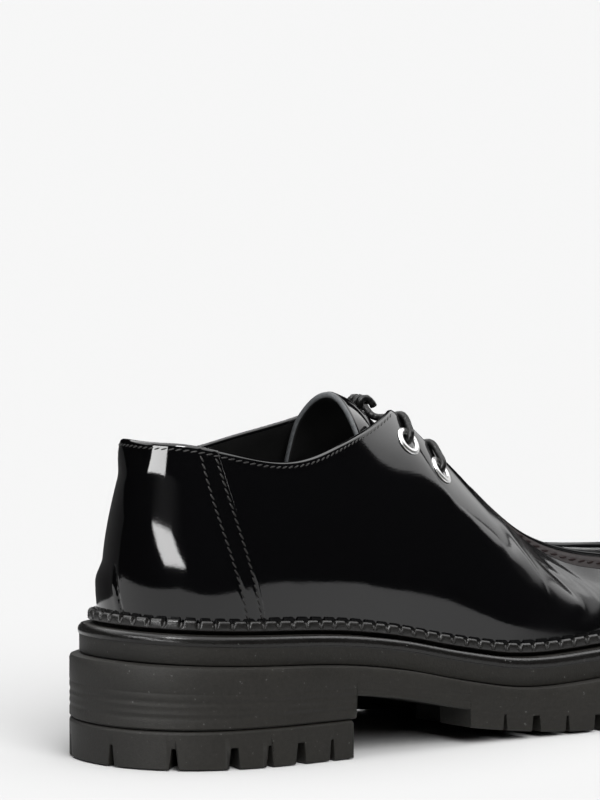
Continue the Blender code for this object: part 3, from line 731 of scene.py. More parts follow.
insole_turns = stations(LAST_START, LAST_START + LAST_LENGTH, 100)
add_piece(slab(insole_turns, insole_section), "insole_sock", [LINING], ["insole"])

# Upper: gloss leather pulled over the last, one side panel on each side with the apron set in on top,
# open at the collar and the throat. Its edges are folded in over a matte lining.
CORNER_X = 105.0
THROAT_X = 150.0
CORNER_TOP = 99.0
CORNER_ROUND = 0.5
CORNER_LAP = 0.1
CORNER_BLEND = 0.09
HEEL_SPAN = 0.95
PANEL_PULL = 0.4
HEEL_PULL = (-0.15, 0.10)  # change of the panel's pull at the heel, low and high
SECTION_ARC = 1.2
SEAM_LEAD = 4.0
SEAM_RAMP = 26.0
SEAM_DROP = 4.4
APRON_SINK = 0.9
WALL_COLUMNS = (150, 90, 200)  # along the collar, the facing and the apron
CREASES = (
    # share of the wall's height at both ends, x of the line from low to high, rise, width
    (0.30, 0.95, (147.0, 147.5, 146.0, 151.0), 0.70, 2.9),
    (0.40, 0.68, (141.0, 138.5, 143.5), -0.22, 2.8),
    (0.18, 0.66, (160.5, 163.5, 161.5, 157.0), -0.65, 2.6),
    (0.10, 0.84, (166.0, 170.0, 169.0, 162.5), 0.60, 2.8),
)
CREASE_FADE = 0.12
DRAW_SIDE = (0.30, 1.1, 0.5)  # turns over which it grows, where it ends and over which it fades
DRAW_IN = (1.9, 0.26, 0.15)  # depth, share of the height where it starts and over which it grows
DRAW_OUT = (2.6, 0.84, 0.16)
FINE_ROWS_FROM = 0.9
OUTER_ROWS = 48
EDGE_ROWS = 14
ROLL_ROWS = 8
INNER_ROWS = 16
APRON_GRID = (90, 48)
COLLAR_EDGE = (
    # x, height of the top edge
    (9.5, 93.5),
    (23.0, 92.0),
    (31.0, 90.2),
    (48.0, 87.3),
    (60.0, 88.0),
    (72.0, 90.6),
    (91.0, 94.9),
    (105.0, 99.2),
)
FRONT_EDGE = (
    # x, height of the top edge
    (105.0, 99.2),
    (122.0, 86.8),
    (133.0, 79.4),
    (145.0, 69.9),
    (152.0, 63.4),
    (158.5, 57.3),
    (169.0, 51.4),
    (180.0, 49.2),
    (200.0, 46.9),
    (220.0, 45.0),
    (240.0, 44.2),
    (260.0, 45.2),
    (273.5, 46.8),
)
WALL = (
    # x, height the panel is drawn to before it is cut, inset lateral, inset medial, flare, lean, crown
    (9.5, 93.5, 6.3, 6.3, 9.0, 15.0, 40.0),
    (23.0, 92.0, 5.8, 5.8, 9.0, 16.0, 40.0),
    (31.0, 90.2, 4.2, 4.2, 7.0, 16.0, 40.0),
    (48.0, 87.3, 3.4, 3.0, 8.0, 15.0, 40.0),
    (60.0, 88.2, 4.7, 3.2, 9.0, 17.0, 40.0),
    (72.0, 91.4, 7.6, 5.2, 9.0, 22.0, 40.0),
    (82.0, 95.2, 11.9, 8.1, 9.0, 27.0, 40.0),
    (91.0, 98.6, 16.2, 11.3, 9.0, 32.0, 40.0),
    (98.0, 100.6, 19.2, 13.5, 9.0, 35.0, 40.0),
    (105.0, 101.0, 21.9, 15.3, 9.0, 37.5, 40.0),
    (112.0, 98.8, 24.4, 17.2, 9.0, 40.5, 38.0),
    (122.0, 91.4, 26.6, 18.8, 9.0, 43.5, 36.0),
    (133.0, 81.6, 27.4, 18.8, 9.0, 46.5, 32.0),
    (145.0, 70.6, 27.7, 18.3, 9.0, 50.0, 28.0),
    (152.0, 63.6, 26.7, 17.7, 9.0, 50.5, 25.5),
    (158.5, 57.4, 24.6, 17.0, 9.0, 50.0, 23.0),
    (169.0, 51.4, 19.2, 15.0, 9.0, 47.0, 18.0),
    (180.0, 49.2, 14.8, 12.8, 9.0, 44.0, 14.0),
    (200.0, 46.9, 13.2, 12.5, 9.0, 42.0, 12.0),
    (220.0, 45.0, 13.2, 13.2, 9.0, 42.0, 13.0),
    (240.0, 44.2, 14.0, 14.0, 9.0, 44.0, 18.0),
    (260.0, 45.2, 16.5, 16.5, 9.0, 46.0, 24.0),
    (273.5, 46.8, 18.0, 18.0, 9.0, 48.0, 24.0),
)


def edge_spline(rows, from_heel):
    """The top edge's height as a spline round the heel or round the toe, from one corner to the other."""
    lateral = [(turn_at(x), height) for x, height in rows]
    if from_heel:
        return spline(*zip(*([(-turn, height) for turn, height in lateral[:0:-1]] + lateral)))
    return spline(*zip(*(lateral + [(FULL_TURN - turn, height) for turn, height in lateral[-2::-1]])))


def wall_spline(lateral_column, medial_column):
    """A wall column as one spline round the whole shoe."""
    loop = [(turn_at(row[0]), row[lateral_column]) for row in WALL]
    loop += [(FULL_TURN - turn_at(row[0]), row[medial_column]) for row in reversed(WALL[1:-1])]
    return spline(*zip(*[(turn + lap * FULL_TURN, value) for lap in (-1, 0, 1) for turn, value in loop]))


COLLAR_TOP = edge_spline(COLLAR_EDGE, True)
FRONT_TOP = edge_spline(FRONT_EDGE, False)
WALL_PARTS = {"drawn": (1, 1), "inset": (2, 3), "flare": (4, 4), "lean": (5, 5), "crown": (6, 6)}
WALL_SPLINES = {key: wall_spline(*pair) for key, pair in WALL_PARTS.items()}
CORNER = float(turn_at(CORNER_X))


def wall_value(key, turn):
    """A measure of the wall at a turn; the top edge's two curves meet in a rounded corner."""
    turn = turn % FULL_TURN
    if key != "top":
        return WALL_SPLINES[key](turn)
    behind = np.where(turn > HALF_TURN, turn - FULL_TURN, turn)
    collar = COLLAR_TOP(np.clip(behind, -CORNER - CORNER_LAP, CORNER + CORNER_LAP))
    front = FRONT_TOP(np.clip(turn, CORNER - CORNER_LAP, FULL_TURN - CORNER + CORNER_LAP))
    rounded = -CORNER_ROUND * np.log(np.exp(-(collar - CORNER_TOP) / CORNER_ROUND)
                                     + np.exp(-(front - CORNER_TOP) / CORNER_ROUND)) + CORNER_TOP
    sharp = np.where(np.abs(behind) <= CORNER, collar, front)
    return np.where(np.abs(np.abs(behind) - CORNER) < CORNER_BLEND, rounded, sharp)


def section_out(turn):
    """Plan direction of the wall's section: square to the shoe at the waist, to the edge at heel and toe."""
    out_x, out_y = outward(turn)
    out_x = out_x * np.abs(np.cos(turn))
    size = np.hypot(out_x, out_y)
    return out_x / size, out_y / size


def bezier(points, share):
    rest = 1.0 - share
    weights = (rest ** 3, 3.0 * rest ** 2 * share, 3.0 * rest * share ** 2, share ** 3)
    return sum(weight * point for weight, point in zip(weights, points))


def smooth_step(value):
    value = np.clip(value, 0.0, 1.0)
    return value * value * (3.0 - 2.0 * value)


def crease_rise(turn, share):
    """How far the creases of the vamp's lateral side stand out, or in, at a place on the wall."""
    rise = np.zeros(np.broadcast(turn, share).shape)
    for low, high, line, height, width in CREASES:
        middle = spline(np.linspace(low, high, len(line)), line)(np.clip(share, low, high))
        inside = [smooth_step(reach / CREASE_FADE + 0.5) for reach in (share - low, high - share)]
        rise = rise + height * inside[0] * inside[1] * np.exp(-((along(turn) - middle) / width) ** 2)
    return np.where((turn % FULL_TURN) < HALF_TURN, rise, 0.0)


def heel_draw(turn, share):
    """How far the back is drawn in on the heel's medial side, over the foot of the counter."""
    behind = (turn + HALF_TURN) % FULL_TURN - HALF_TURN
    weight = smooth_step(-behind / DRAW_SIDE[0]) * smooth_step((behind + DRAW_SIDE[1]) / DRAW_SIDE[2])
    drawn, back = [depth * smooth_step((share - start) / reach)
                   for depth, start, reach in (DRAW_IN, DRAW_OUT)]
    return weight * (drawn - back)


def wall(turn, share):
    """The upper's outer face, from the feather edge at 0 to the top edge at 1."""
    turn, share = np.broadcast_arrays(turn, share)
    top = wall_value("top", turn)
    bottom = seat(turn) + GAP
    rise = np.maximum(wall_value("drawn", turn), top) - bottom
    inset = wall_value("inset", turn)
    flare = np.radians(wall_value("flare", turn))
    lean = np.radians(wall_value("lean", turn))
    behind = np.abs((turn + HALF_TURN) % FULL_TURN - HALF_TURN)
    heel = smooth_step(1.0 - behind / HEEL_SPAN)
    low, high = [(PANEL_PULL + change * heel) * np.hypot(rise, inset) for change in HEEL_PULL]
    heights = (bottom, bottom + low * np.cos(flare), bottom + rise - high * np.cos(lean), bottom + rise)
    cut = np.ones_like(rise)
    for _ in range(6):
        slope = (bezier(heights, cut) - bezier(heights, cut - 1e-3)) * 1e3
        cut = np.minimum(cut - (bezier(heights, cut) - top) / slope, 1.0)
    drawn = share * cut
    inward = bezier((0.0, -low * np.sin(flare), inset - high * np.sin(lean), inset), drawn)
    inward = inward + heel_draw(turn, share) - crease_rise(turn, share)
    out_x, out_y = section_out(turn)
    return np.stack((along(turn) - out_x * inward, EDGE_Y(turn % FULL_TURN) - out_y * inward,
                     bezier(heights, drawn)), axis=-1)


def unit(vectors):
    return vectors / np.linalg.norm(vectors, axis=-1, keepdims=True)


def wall_up(turn, share):
    step = 2e-3
    return unit(wall(turn, np.minimum(share + step, 1.0)) - wall(turn, np.maximum(share - step, 0.0)))


def wall_normal(turn, share):
    step = 2e-3
    return unit(np.cross(wall(turn + step, share) - wall(turn - step, share), wall_up(turn, share)))


def seam_ramp(turn):
    """0 behind the throat, growing to 1 where the apron's seam has its full height."""
    return smooth_step((along(turn) - THROAT_X + SEAM_LEAD) / SEAM_RAMP)


def top_share(turn):
    """Share of the wall where the side panel ends: its top edge, or a little lower along the apron."""
    height = np.hypot(wall_value("top", turn) - seat(turn), wall_value("inset", turn))
    return 1.0 - SEAM_DROP * seam_ramp(turn) / (SECTION_ARC * height)


def upper_turns():
    """Turns of the wall's columns round the whole shoe: collar, facing and apron on each side."""
    collar, facing, apron = WALL_COLUMNS
    side = np.concatenate((stations(LAST_START, CORNER_X, collar), stations(CORNER_X, THROAT_X, facing)[1:],
                           stations(THROAT_X, LAST_START + LAST_LENGTH, apron)[1:]))
    return np.concatenate((side, FULL_TURN - side[-2::-1]))


def bridge(turn, across):
    """The crowned surface between the two top edges: across runs 0 to 1, lateral to medial."""
    start = wall(turn, 1.0)
    end = wall(FULL_TURN - turn, 1.0)
    span = end - start
    rise = np.tan(np.radians(wall_value("crown", turn))) * np.linalg.norm(span, axis=-1) / 3.0
    lift = rise[..., None] * np.array((0.0, 0.0, 1.0))
    share = across[..., None]
    return bezier((start, start + span / 3.0 + lift, end - span / 3.0 + lift, end), share)


LEATHER_COLOUR = (0.0016, 0.0016, 0.0018)
LEATHER_CLOUD = (35.0, 5.0)
LEATHER_SHINE = (0.04, 0.08)
LEATHER_SWELL = (55.0, 2.0)
LEATHER_RIPPLE = (0.12, 0.0012)
LEATHER_PORES = (1500.0, 2.0, 0.05, 0.0002)
FLEX_SPAN = (-0.014, 0.008)  # metres along the shoe in the CAD frame
FLEX_DULL = 0.13
POLISH = (0.42, 0.08)  # behind the vamp, on the vamp


def leather_material():
    """Gloss leather: black with a thick polish, faintly rippled, with fine pores, duller where the vamp
    flexes and its polish is thin."""
    made, nodes, links, shader = new_material("gloss_leather")
    shader.inputs["Base Color"].default_value = (*LEATHER_COLOUR, 1.0)
    shader.inputs["IOR"].default_value = 1.5
    shader.inputs["Specular IOR Level"].default_value = 0.32
    shader.inputs["Coat Roughness"].default_value = 0.05
    cloud = surface_grain(nodes, *LEATHER_CLOUD)["Fac"]
    shine = ramp(nodes, links, cloud, (0.35, 0.75), *[[part] * 3 for part in LEATHER_SHINE])
    spot = nodes.new("ShaderNodeSeparateXYZ")
    links.new(nodes.new("ShaderNodeTexCoord").outputs["Object"], spot.inputs["Vector"])
    flexed = range_node(nodes, links, spot.outputs["X"], FLEX_SPAN, (0.0, FLEX_DULL))
    links.new(math_node(nodes, links, "ADD", shine, flexed), shader.inputs["Roughness"])
    polish = range_node(nodes, links, spot.outputs["X"], FLEX_SPAN, POLISH)
    links.new(polish, shader.inputs["Coat Weight"])
    wave = nodes.new("ShaderNodeBump")
    wave.inputs["Strength"].default_value, wave.inputs["Distance"].default_value = LEATHER_RIPPLE
    links.new(surface_grain(nodes, *LEATHER_SWELL)["Fac"], wave.inputs["Height"])
    links.new(surface_grain(nodes, *LEATHER_PORES)["Normal"], wave.inputs["Normal"])
    links.new(wave.outputs["Normal"], shader.inputs["Normal"])
    return made


GLOSS_LEATHER = leather_material()

upper_mesh = bmesh.new()
turns = upper_turns()
tops = top_share(turns)
outer_shares = np.concatenate((np.linspace(0.0, FINE_ROWS_FROM, OUTER_ROWS),
                               np.linspace(FINE_ROWS_FROM, 1.0, EDGE_ROWS + 1)[1:]))
outer = [(tops * share, 0.0, 0.0) for share in outer_shares]
half = WALL_THICK / 2.0
roll = [(tops, half * (math.cos(angle) - 1.0), half * math.sin(angle))
        for angle in np.linspace(0.0, math.pi, ROLL_ROWS + 1)[1:]]
inner = [(tops * share, -WALL_THICK, 0.0) for share in np.linspace(1.0, 0.0, INNER_ROWS + 1)]


def wall_rows(rows):
    return np.stack([wall(turns, share) + wall_normal(turns, share) * depth + wall_up(turns, share) * lift
                     for share, depth, lift in rows], axis=1)


sheet(upper_mesh, wall_rows(outer + roll), 0)
sheet(upper_mesh, wall_rows(inner), 1)
sheet(upper_mesh, wall_rows([inner[-1], outer[0]]), 1)
apron_turns = stations(THROAT_X, LAST_START + LAST_LENGTH, APRON_GRID[0])
apron_across = np.linspace(0.0, 1.0, APRON_GRID[1] + 1)
grid_turn, grid_across = np.meshgrid(apron_turns, apron_across, indexing="ij")
apron_top = bridge(grid_turn, grid_across) - np.array((0.0, 0.0, APRON_SINK))
apron_under = apron_top - np.array((0.0, 0.0, WALL_THICK))
sheet(upper_mesh, apron_top, 0)
sheet(upper_mesh, apron_under, 1)
for edge in ((0, slice(None)), (slice(None), 0), (slice(None), -1)):
    sheet(upper_mesh, np.stack((apron_top[edge], apron_under[edge]), axis=1), 0)
add_piece(upper_mesh, "upper_leather", [GLOSS_LEATHER, LINING], ["upper"], close=False,
          smooth_angle=50.0)

# Heel counter: the back panel, lapped over both side panels and folded in at the collar, with its front
# edges cut and held by two rows of stitches. A short dart shapes it at the back, over the welt.
STITCH_PITCH = 2.3
COUNTER_THICK = 0.7
COUNTER_CLEAR = 0.05
COUNTER_ROUND = 0.3
COUNTER_RIM = 0.25
RIM_TAPER = (0.88, 0.12)  # share of the height where it starts and over which it runs
RIM_WRAP = 130.0
COUNTER_TOP_X = 25.8
COUNTER_BOTTOM_X = 38.5
COUNTER_GRID = (260, 44, 22, 6)  # columns, then rows on the panel, near its top and over the fold
COUNTER_FOOT = 0.03
COUNTER_ROWS = (1.4, 6.1)
GROOVE = (0.16, 0.5)  # depth, width
DART = (43.0, 57.5, -0.025, -0.085)  # heights of its foot and its end, then its turns there
DART_RADIUS = 55.0
DART_RUN = (-0.3, 1.3)
DART_END = (1.15, 0.3)  # share where it has run out, share over which it does
DART_DASH = 0.25
DART_GROOVE = (0.38, 0.4)  # depth, width
DART_RIDGE = (0.12, 1.6, 1.2)  # height, distance from the groove, width

counter_up = np.concatenate((np.linspace(0.0, FINE_ROWS_FROM, COUNTER_GRID[1]),
                             np.linspace(FINE_ROWS_FROM, 1.0, COUNTER_GRID[2])[1:]))
counter_across = np.linspace(-1.0, 1.0, COUNTER_GRID[0] + 1)
across, up = np.meshgrid(counter_across, counter_up, indexing="ij")
counter_edge = COUNTER_BOTTOM_X + (COUNTER_TOP_X - COUNTER_BOTTOM_X) * up
counter_turn = turn_at(counter_edge) * across
counter_share = COUNTER_FOOT + (1.0 - COUNTER_FOOT) * up
counter_face = wall(counter_turn, counter_share)
counter_normal = wall_normal(counter_turn, counter_share)


def counter_thick(up):
    """The counter's thickness up its height: skived thin where it is folded in at the collar."""
    return COUNTER_THICK + (COUNTER_RIM - COUNTER_THICK) * smooth_step((up - RIM_TAPER[0]) / RIM_TAPER[1])


counter_lift = counter_thick(up)
for inset in COUNTER_ROWS:
    counter_lift -= GROOVE[0] * np.exp(-((counter_edge - along(counter_turn) - inset) / GROOVE[1]) ** 2)
dart_low, dart_high, dart_start, dart_stop = DART
dart_share = np.clip((counter_face[..., 2] - dart_low) / (dart_high - dart_low), *DART_RUN)
dart_off = (counter_turn - dart_start - (dart_stop - dart_start) * dart_share) * DART_RADIUS
dart_depth = smooth_step((DART_END[0] - dart_share) / DART_END[1])
dart_dash = 1.0 - DART_DASH + DART_DASH * np.cos(counter_face[..., 2] * FULL_TURN / STITCH_PITCH)
counter_lift -= dart_depth * dart_dash * DART_GROOVE[0] * np.exp(-(dart_off / DART_GROOVE[1]) ** 2)
counter_lift += dart_depth * DART_RIDGE[0] * np.exp(-((dart_off + DART_RIDGE[1]) / DART_RIDGE[2]) ** 2)
counter_rows = [counter_face + counter_normal * counter_lift[..., None]]
rim_turn = turn_at(COUNTER_TOP_X) * counter_across
rim_out = wall_normal(rim_turn, 1.0)
rim_up = wall_up(rim_turn, 1.0)
rim_heart = wall(rim_turn, 1.0) - rim_out * WALL_THICK / 2.0
for angle in np.linspace(0.0, math.radians(RIM_WRAP), COUNTER_GRID[3] + 1)[1:]:
    rim = rim_out * math.cos(angle) + rim_up * math.sin(angle)
    counter_rows.append((rim_heart + rim * (WALL_THICK / 2.0 + COUNTER_RIM))[:, None, :])
counter_mesh = bmesh.new()
sheet(counter_mesh, np.concatenate(counter_rows, axis=1))
counter = add_piece(counter_mesh, "heel_counter_leather", [GLOSS_LEATHER], ["heel_counter"],
                    close=False)
counter_shell = counter.modifiers.new("thickness", "SOLIDIFY")
counter_shell.thickness = (COUNTER_THICK - COUNTER_CLEAR) * MM
counter_shell.offset = -1.0
soften(counter, COUNTER_ROUND, 60.0)

# Stitches of the counter and the collar: fine black thread, two rows along each cut edge of the counter
# and one row under the collar's fold, drawn down into the leather.
STITCH_SIZE = (2.35, 0.58, 0.52)  # length, width, height
STITCH_SLANT = 0.30
STITCH_SINK = 0.1
STITCH_SHAPE = (8, 6)
ROW_END = 0.978
COLLAR_ROW = 0.9
COLLAR_ROW_END = 0.012
THREAD_TWIST = (2500.0, 2.0, 0.4, 0.0002)


def thread_material(name, colour):
    """Dark sewing thread: matte, with a fine uneven twist."""
    made, nodes, links, shader = new_material(name)
    shader.inputs["Base Color"].default_value = (*colour, 1.0)
    shader.inputs["Roughness"].default_value = 0.5
    shader.inputs["Specular IOR Level"].default_value = 0.4
    links.new(surface_grain(nodes, *THREAD_TWIST)["Normal"], shader.inputs["Normal"])
    return made


THREAD = thread_material("black_thread", (0.011, 0.0105, 0.010))
STITCH = bpy.data.meshes.new("stitch")
stitch_ball = bmesh.new()
bmesh.ops.create_uvsphere(stitch_ball, u_segments=STITCH_SHAPE[0], v_segments=STITCH_SHAPE[1], radius=1.0)
stitch_ball.to_mesh(STITCH)
stitch_ball.free()


def bead(mesh, centre, run, out, sizes):
    """One stitch: a long ball laid along a direction, on a face with an outward normal."""
    run = Vector(run).normalized()
    out = (Vector(out) - run * run.dot(Vector(out))).normalized()
    side = out.cross(run)
    turned = Matrix((run * sizes[0], side * sizes[1], out * sizes[2])).transposed().to_4x4()
    place = Matrix.Translation(Vector(centre + PLACE) * MM) @ Matrix.Scale(MM / 2.0, 4) @ turned
    stitch = STITCH.copy()
    stitch.transform(place)
    mesh.from_mesh(stitch)
    bpy.data.meshes.remove(stitch)


def stitch_row(mesh, points, normals, pitch, sizes):
    """Stitches at an even pitch along a line of points on a surface, each a little aslant."""
    travelled = way_along(points)
    count = int(travelled[-1] / pitch)
    spots = (np.arange(count) + 0.5) * travelled[-1] / count
    for spot in spots:
        ends = [np.array([np.interp(spot + shift, travelled, points[:, axis]) for axis in range(3)])
                for shift in (-sizes[0] / 2.0, 0.0, sizes[0] / 2.0)]
        out = np.array([np.interp(spot, travelled, normals[:, axis]) for axis in range(3)])
        run = ends[2] - ends[0]
        bead(mesh, ends[1] - out * STITCH_SINK, run + np.cross(out, run) * STITCH_SLANT, out, sizes)


def share_below_top(turn, distance):
    """How far up the section a point lies that is a distance down from the top edge."""
    shares = np.linspace(0.3, 1.0, 700)
    points = wall(np.full_like(shares, turn), shares)
    return float(np.interp(-distance, -np.linalg.norm(points - points[-1], axis=-1), shares))


stitch_mesh = bmesh.new()
row_up = np.linspace(0.0, ROW_END, 60)
for side in (1.0, -1.0):
    for inset in COUNTER_ROWS:
        row_x = COUNTER_BOTTOM_X + (COUNTER_TOP_X - COUNTER_BOTTOM_X) * row_up - inset
        row_turn = side * turn_at(row_x)
        row_share = COUNTER_FOOT + (1.0 - COUNTER_FOOT) * row_up
        row_normal = wall_normal(row_turn, row_share)
        row_points = wall(row_turn, row_share) + row_normal * counter_thick(row_up)[:, None]
        stitch_row(stitch_mesh, row_points, row_normal, STITCH_PITCH, STITCH_SIZE)
collar_turns = np.linspace(-CORNER + COLLAR_ROW_END, CORNER - COLLAR_ROW_END, 500)
collar_shares = np.array([share_below_top(turn, COLLAR_ROW) for turn in collar_turns])
collar_normals = wall_normal(collar_turns, collar_shares)
collar_lift = COUNTER_RIM * (np.abs(collar_turns) < turn_at(COUNTER_TOP_X))
collar_points = wall(collar_turns, collar_shares) + collar_normals * collar_lift[:, None]
stitch_row(stitch_mesh, collar_points, collar_normals, STITCH_PITCH, STITCH_SIZE)
add_piece(stitch_mesh, "counter_stitches", [THREAD], close=False, smooth_angle=180.0)

# Apron seam: the apron's edge turned up against the side panel's folded edge and sewn through, which
# leaves a standing flange with a rounded lip.
SEAM_START_X = 141.0
SEAM_COLUMNS = 340
SEAM_LEAST = 0.06
SEAM_ROW = (1.38, -0.9)  # outward of the wall's top, and rise over it
SEAM_ROW_TILT = 0.45
SEWN_FROM = 0.35
SEAM_STITCH = (2.7, 1.15, 0.55)
SEAM_PITCH = 3.0
SEAM_PROFILE = (
    # outward of the wall's top, and rise over it
    (0.9, -3.6),
    (2.2, -3.2),
    (1.55, -1.6),
    (1.2, -0.6),
    (0.95, 0.3),
    (0.62, 0.62),
    (0.60, 0.85),
    (0.95, 1.15),
    (1.02, 1.5),
    (0.80, 1.95),
    (0.35, 2.2),
    (-0.15, 2.1),
    (-0.6, 1.7),
    (-0.9, 0.9),
    (-1.2, -0.2),
    (-2.0, -1.1),
    (-2.0, -2.4),
)
SEAM_BAND = (1, 6)  # rows of the profile that show the cut edge
EDGE_STREAK = (900.0, 4.0, 0.3, 0.0003)
EDGE_DARK = 0.7


def cut_edge_material(name, colour, roughness):
    """Cut leather edge, dyed and rubbed: satin, with the layers' fine streaks."""
    made, nodes, links, shader = new_material(name)
    streak = surface_grain(nodes, *EDGE_STREAK)
    dark = [EDGE_DARK * part for part in colour]
    links.new(ramp(nodes, links, streak["Fac"], MIDDLE_SPAN, dark, colour), shader.inputs["Base Color"])
    shader.inputs["Roughness"].default_value = roughness
    links.new(streak["Normal"], shader.inputs["Normal"])
    return made


seam_start = float(turn_at(SEAM_START_X))
seam_turns = np.linspace(seam_start, FULL_TURN - seam_start, SEAM_COLUMNS)
seam_size = SEAM_LEAST + (1.0 - SEAM_LEAST) * seam_ramp(seam_turns)
seam_top = wall(seam_turns, 1.0)
seam_out = np.stack((*section_out(seam_turns), 0.0 * seam_turns), axis=-1)


def seam_line(outwards, rise):
    """A line along the seam, at a place of its profile."""
    return seam_top + (seam_out * outwards + np.array((0.0, 0.0, rise))) * seam_size[:, None]


seam_rows = [seam_line(outwards, rise) for outwards, rise in SEAM_PROFILE]
seam_mesh = bmesh.new()
sheet(seam_mesh, np.stack(seam_rows[SEAM_BAND[0]:SEAM_BAND[1] + 1], axis=1), 1)
sheet(seam_mesh, np.stack(seam_rows[SEAM_BAND[1]:] + seam_rows[:SEAM_BAND[0] + 1], axis=1))
CUT_EDGE = cut_edge_material("cut_edge", (0.034, 0.030, 0.030), 0.40)
add_piece(seam_mesh, "apron_seam_leather", [GLOSS_LEATHER, CUT_EDGE], ["apron_seam"],
          smooth_angle=60.0)
seam_threads = bmesh.new()
sewn = seam_ramp(seam_turns) > SEWN_FROM
seam_normals = seam_out + np.array((0.0, 0.0, SEAM_ROW_TILT))
stitch_row(seam_threads, seam_line(*SEAM_ROW)[sewn], seam_normals[sewn], SEAM_PITCH, SEAM_STITCH)
SEAM_THREAD = thread_material("seam_thread", (0.006, 0.002, 0.002))
add_piece(seam_threads, "apron_seam_stitches", [SEAM_THREAD], close=False,
          smooth_angle=180.0)

# Welt: a moulded rubber strip laid round the upper on the midsole and sewn down with a heavy waxed thread.
# Between the stitches its edge stands up in short tabs.
WELT_EDGE = 4.0
WELT_RUBBER = rubber_material("welt_rubber", (0.0055, 0.0052, 0.0048), 0.34, 0.5)
WELT_PITCH = 5.2
TAB_LENGTH = 3.9
WELT_COLUMNS = 1900
WELT_PROFILE = (
    # inward of the welt's edge, rise over its foot; then the same where the thread pulls it down
    (3.8, 0.0, 3.8, 0.0),
    (1.6, 0.0, 1.6, 0.0),
    (1.0, 0.7, 1.0, 0.7),
    (0.15, 0.9, 0.15, 0.9),
    (0.0, 1.2, 0.0, 1.2),
    (0.0, 1.9, 0.1, 1.7),
    (0.0, 2.7, 0.55, 2.0),
    (0.12, 3.3, 0.8, 2.2),
    (0.45, 3.75, 1.1, 2.3),
    (0.95, 3.9, 1.5, 2.4),
    (1.6, 3.75, 1.9, 2.5),
    (2.4, 3.1, 2.4, 2.6),
    (3.8, 2.8, 3.8, 2.6),
)

even = np.linspace(0.0, FULL_TURN, 6001)
travelled = way_along(edge_points(even, WELT_EDGE, 0.0))
lock_count = round(travelled[-1] / WELT_PITCH)
lock_pitch = travelled[-1] / lock_count
welt_run = np.linspace(0.0, travelled[-1], WELT_COLUMNS + 1)
welt_turns = np.interp(welt_run, travelled, even)
welt_low = seat(welt_turns) + GAP
from_tie = np.abs((welt_run / lock_pitch + 0.5) % 1.0 - 0.5) * lock_pitch
tie_gap = lock_pitch - TAB_LENGTH
pulled = 1.0 - smooth_step((from_tie - tie_gap / 4.0) / (tie_gap / 2.0))
welt_rows = []
for inward, rise, tied_inward, tied_rise in WELT_PROFILE:
    offset = WELT_EDGE - inward - (tied_inward - inward) * pulled
    welt_rows.append(edge_points(welt_turns, offset, welt_low + rise + (tied_rise - rise) * pulled))
welt_mesh = bmesh.new()
sheet(welt_mesh, np.stack(welt_rows + welt_rows[:1], axis=1))
add_piece(welt_mesh, "welt_rubber_strip", [WELT_RUBBER], ["welt"], smooth_angle=60.0)

# Welt stitches: one heavy waxed thread, locked over the welt's edge all round the shoe, which it pulls down
# at every stitch.
TIE_SIZE = (2.3, 1.0, 0.9)
TIE_INSET = 0.55
TIE_RISE = 2.2
TIE_LEAN = -0.45

welt_threads = bmesh.new()
for count in range(lock_count):
    turn = float(np.interp(count * lock_pitch, travelled, even))
    out = np.array((*outward(turn), 0.0))
    spot = edge_points(turn, WELT_EDGE - TIE_INSET, float(seat(turn)) + GAP + TIE_RISE)
    bead(welt_threads, spot, out * TIE_LEAN + (0.0, 0.0, 1.0), out, TIE_SIZE)
add_piece(welt_threads, "welt_stitches", [THREAD], close=False, smooth_angle=180.0)

# Tongue: leather over a lining, with raw cut edges. It starts under the apron and arches across the instep
# under the facings, and its free top stands up.
TONGUE_THICK = 2.2
TONGUE_ROUND = 0.7
TONGUE_GRID = (70, 41)
HANG_BEND = 0.16
HANG_FROM_Y = 14.0
HANG_FROM_X = 118.0
HANG_REACH = 18.0
TONGUE = (
    # x, crown height, arch lateral, arch medial, half width lateral, half width medial
    (165.0, 50.4, 0.006, 0.006, 11.0, 11.0),
    (158.0, 55.2, 0.010, 0.010, 12.0, 12.0),
    (150.0, 62.2, 0.020, 0.018, 13.0, 13.0),
    (145.0, 66.6, 0.028, 0.024, 14.0, 14.0),
    (133.0, 76.0, 0.042, 0.034, 15.0, 15.0),
    (122.0, 84.6, 0.054, 0.041, 16.0, 16.0),
    (113.0, 91.4, 0.064, 0.044, 16.5, 17.0),
    (105.0, 97.0, 0.072, 0.044, 16.5, 18.5),
    (99.0, 101.6, 0.073, 0.043, 17.0, 19.0),
    (91.0, 105.0, 0.072, 0.043, 17.5, 20.5),
)
TONGUE_CROWN, ARCH_LATERAL, ARCH_MEDIAL, HALF_LATERAL, HALF_MEDIAL = [
    spline(*zip(*[(row[0], row[column]) for row in sorted(TONGUE)])) for column in (1, 2, 3, 4, 5)]


def tongue_height(x, y):
    """Height of the tongue's face: an arch, whose free medial side hangs down inside the collar."""
    free = smooth_step((HANG_FROM_X - x) / HANG_REACH)
    hang = HANG_BEND * free * np.maximum(y - HANG_FROM_Y, 0.0) ** 2
    return TONGUE_CROWN(x) - np.where(y < 0.0, ARCH_LATERAL(x), ARCH_MEDIAL(x)) * y * y - hang


def tongue_points(x, y, lift=0.0):
    """Points on the tongue's face, or lifted off it."""
    step = 0.1
    ahead = (tongue_height(x + step, y) - tongue_height(x - step, y)) / (2.0 * step)
    aside = (tongue_height(x, y + step) - tongue_height(x, y - step)) / (2.0 * step)
    normal = unit(np.stack(np.broadcast_arrays(-ahead, -aside, 1.0), axis=-1))
    return np.stack(np.broadcast_arrays(x, y, tongue_height(x, y)), axis=-1) + normal * lift


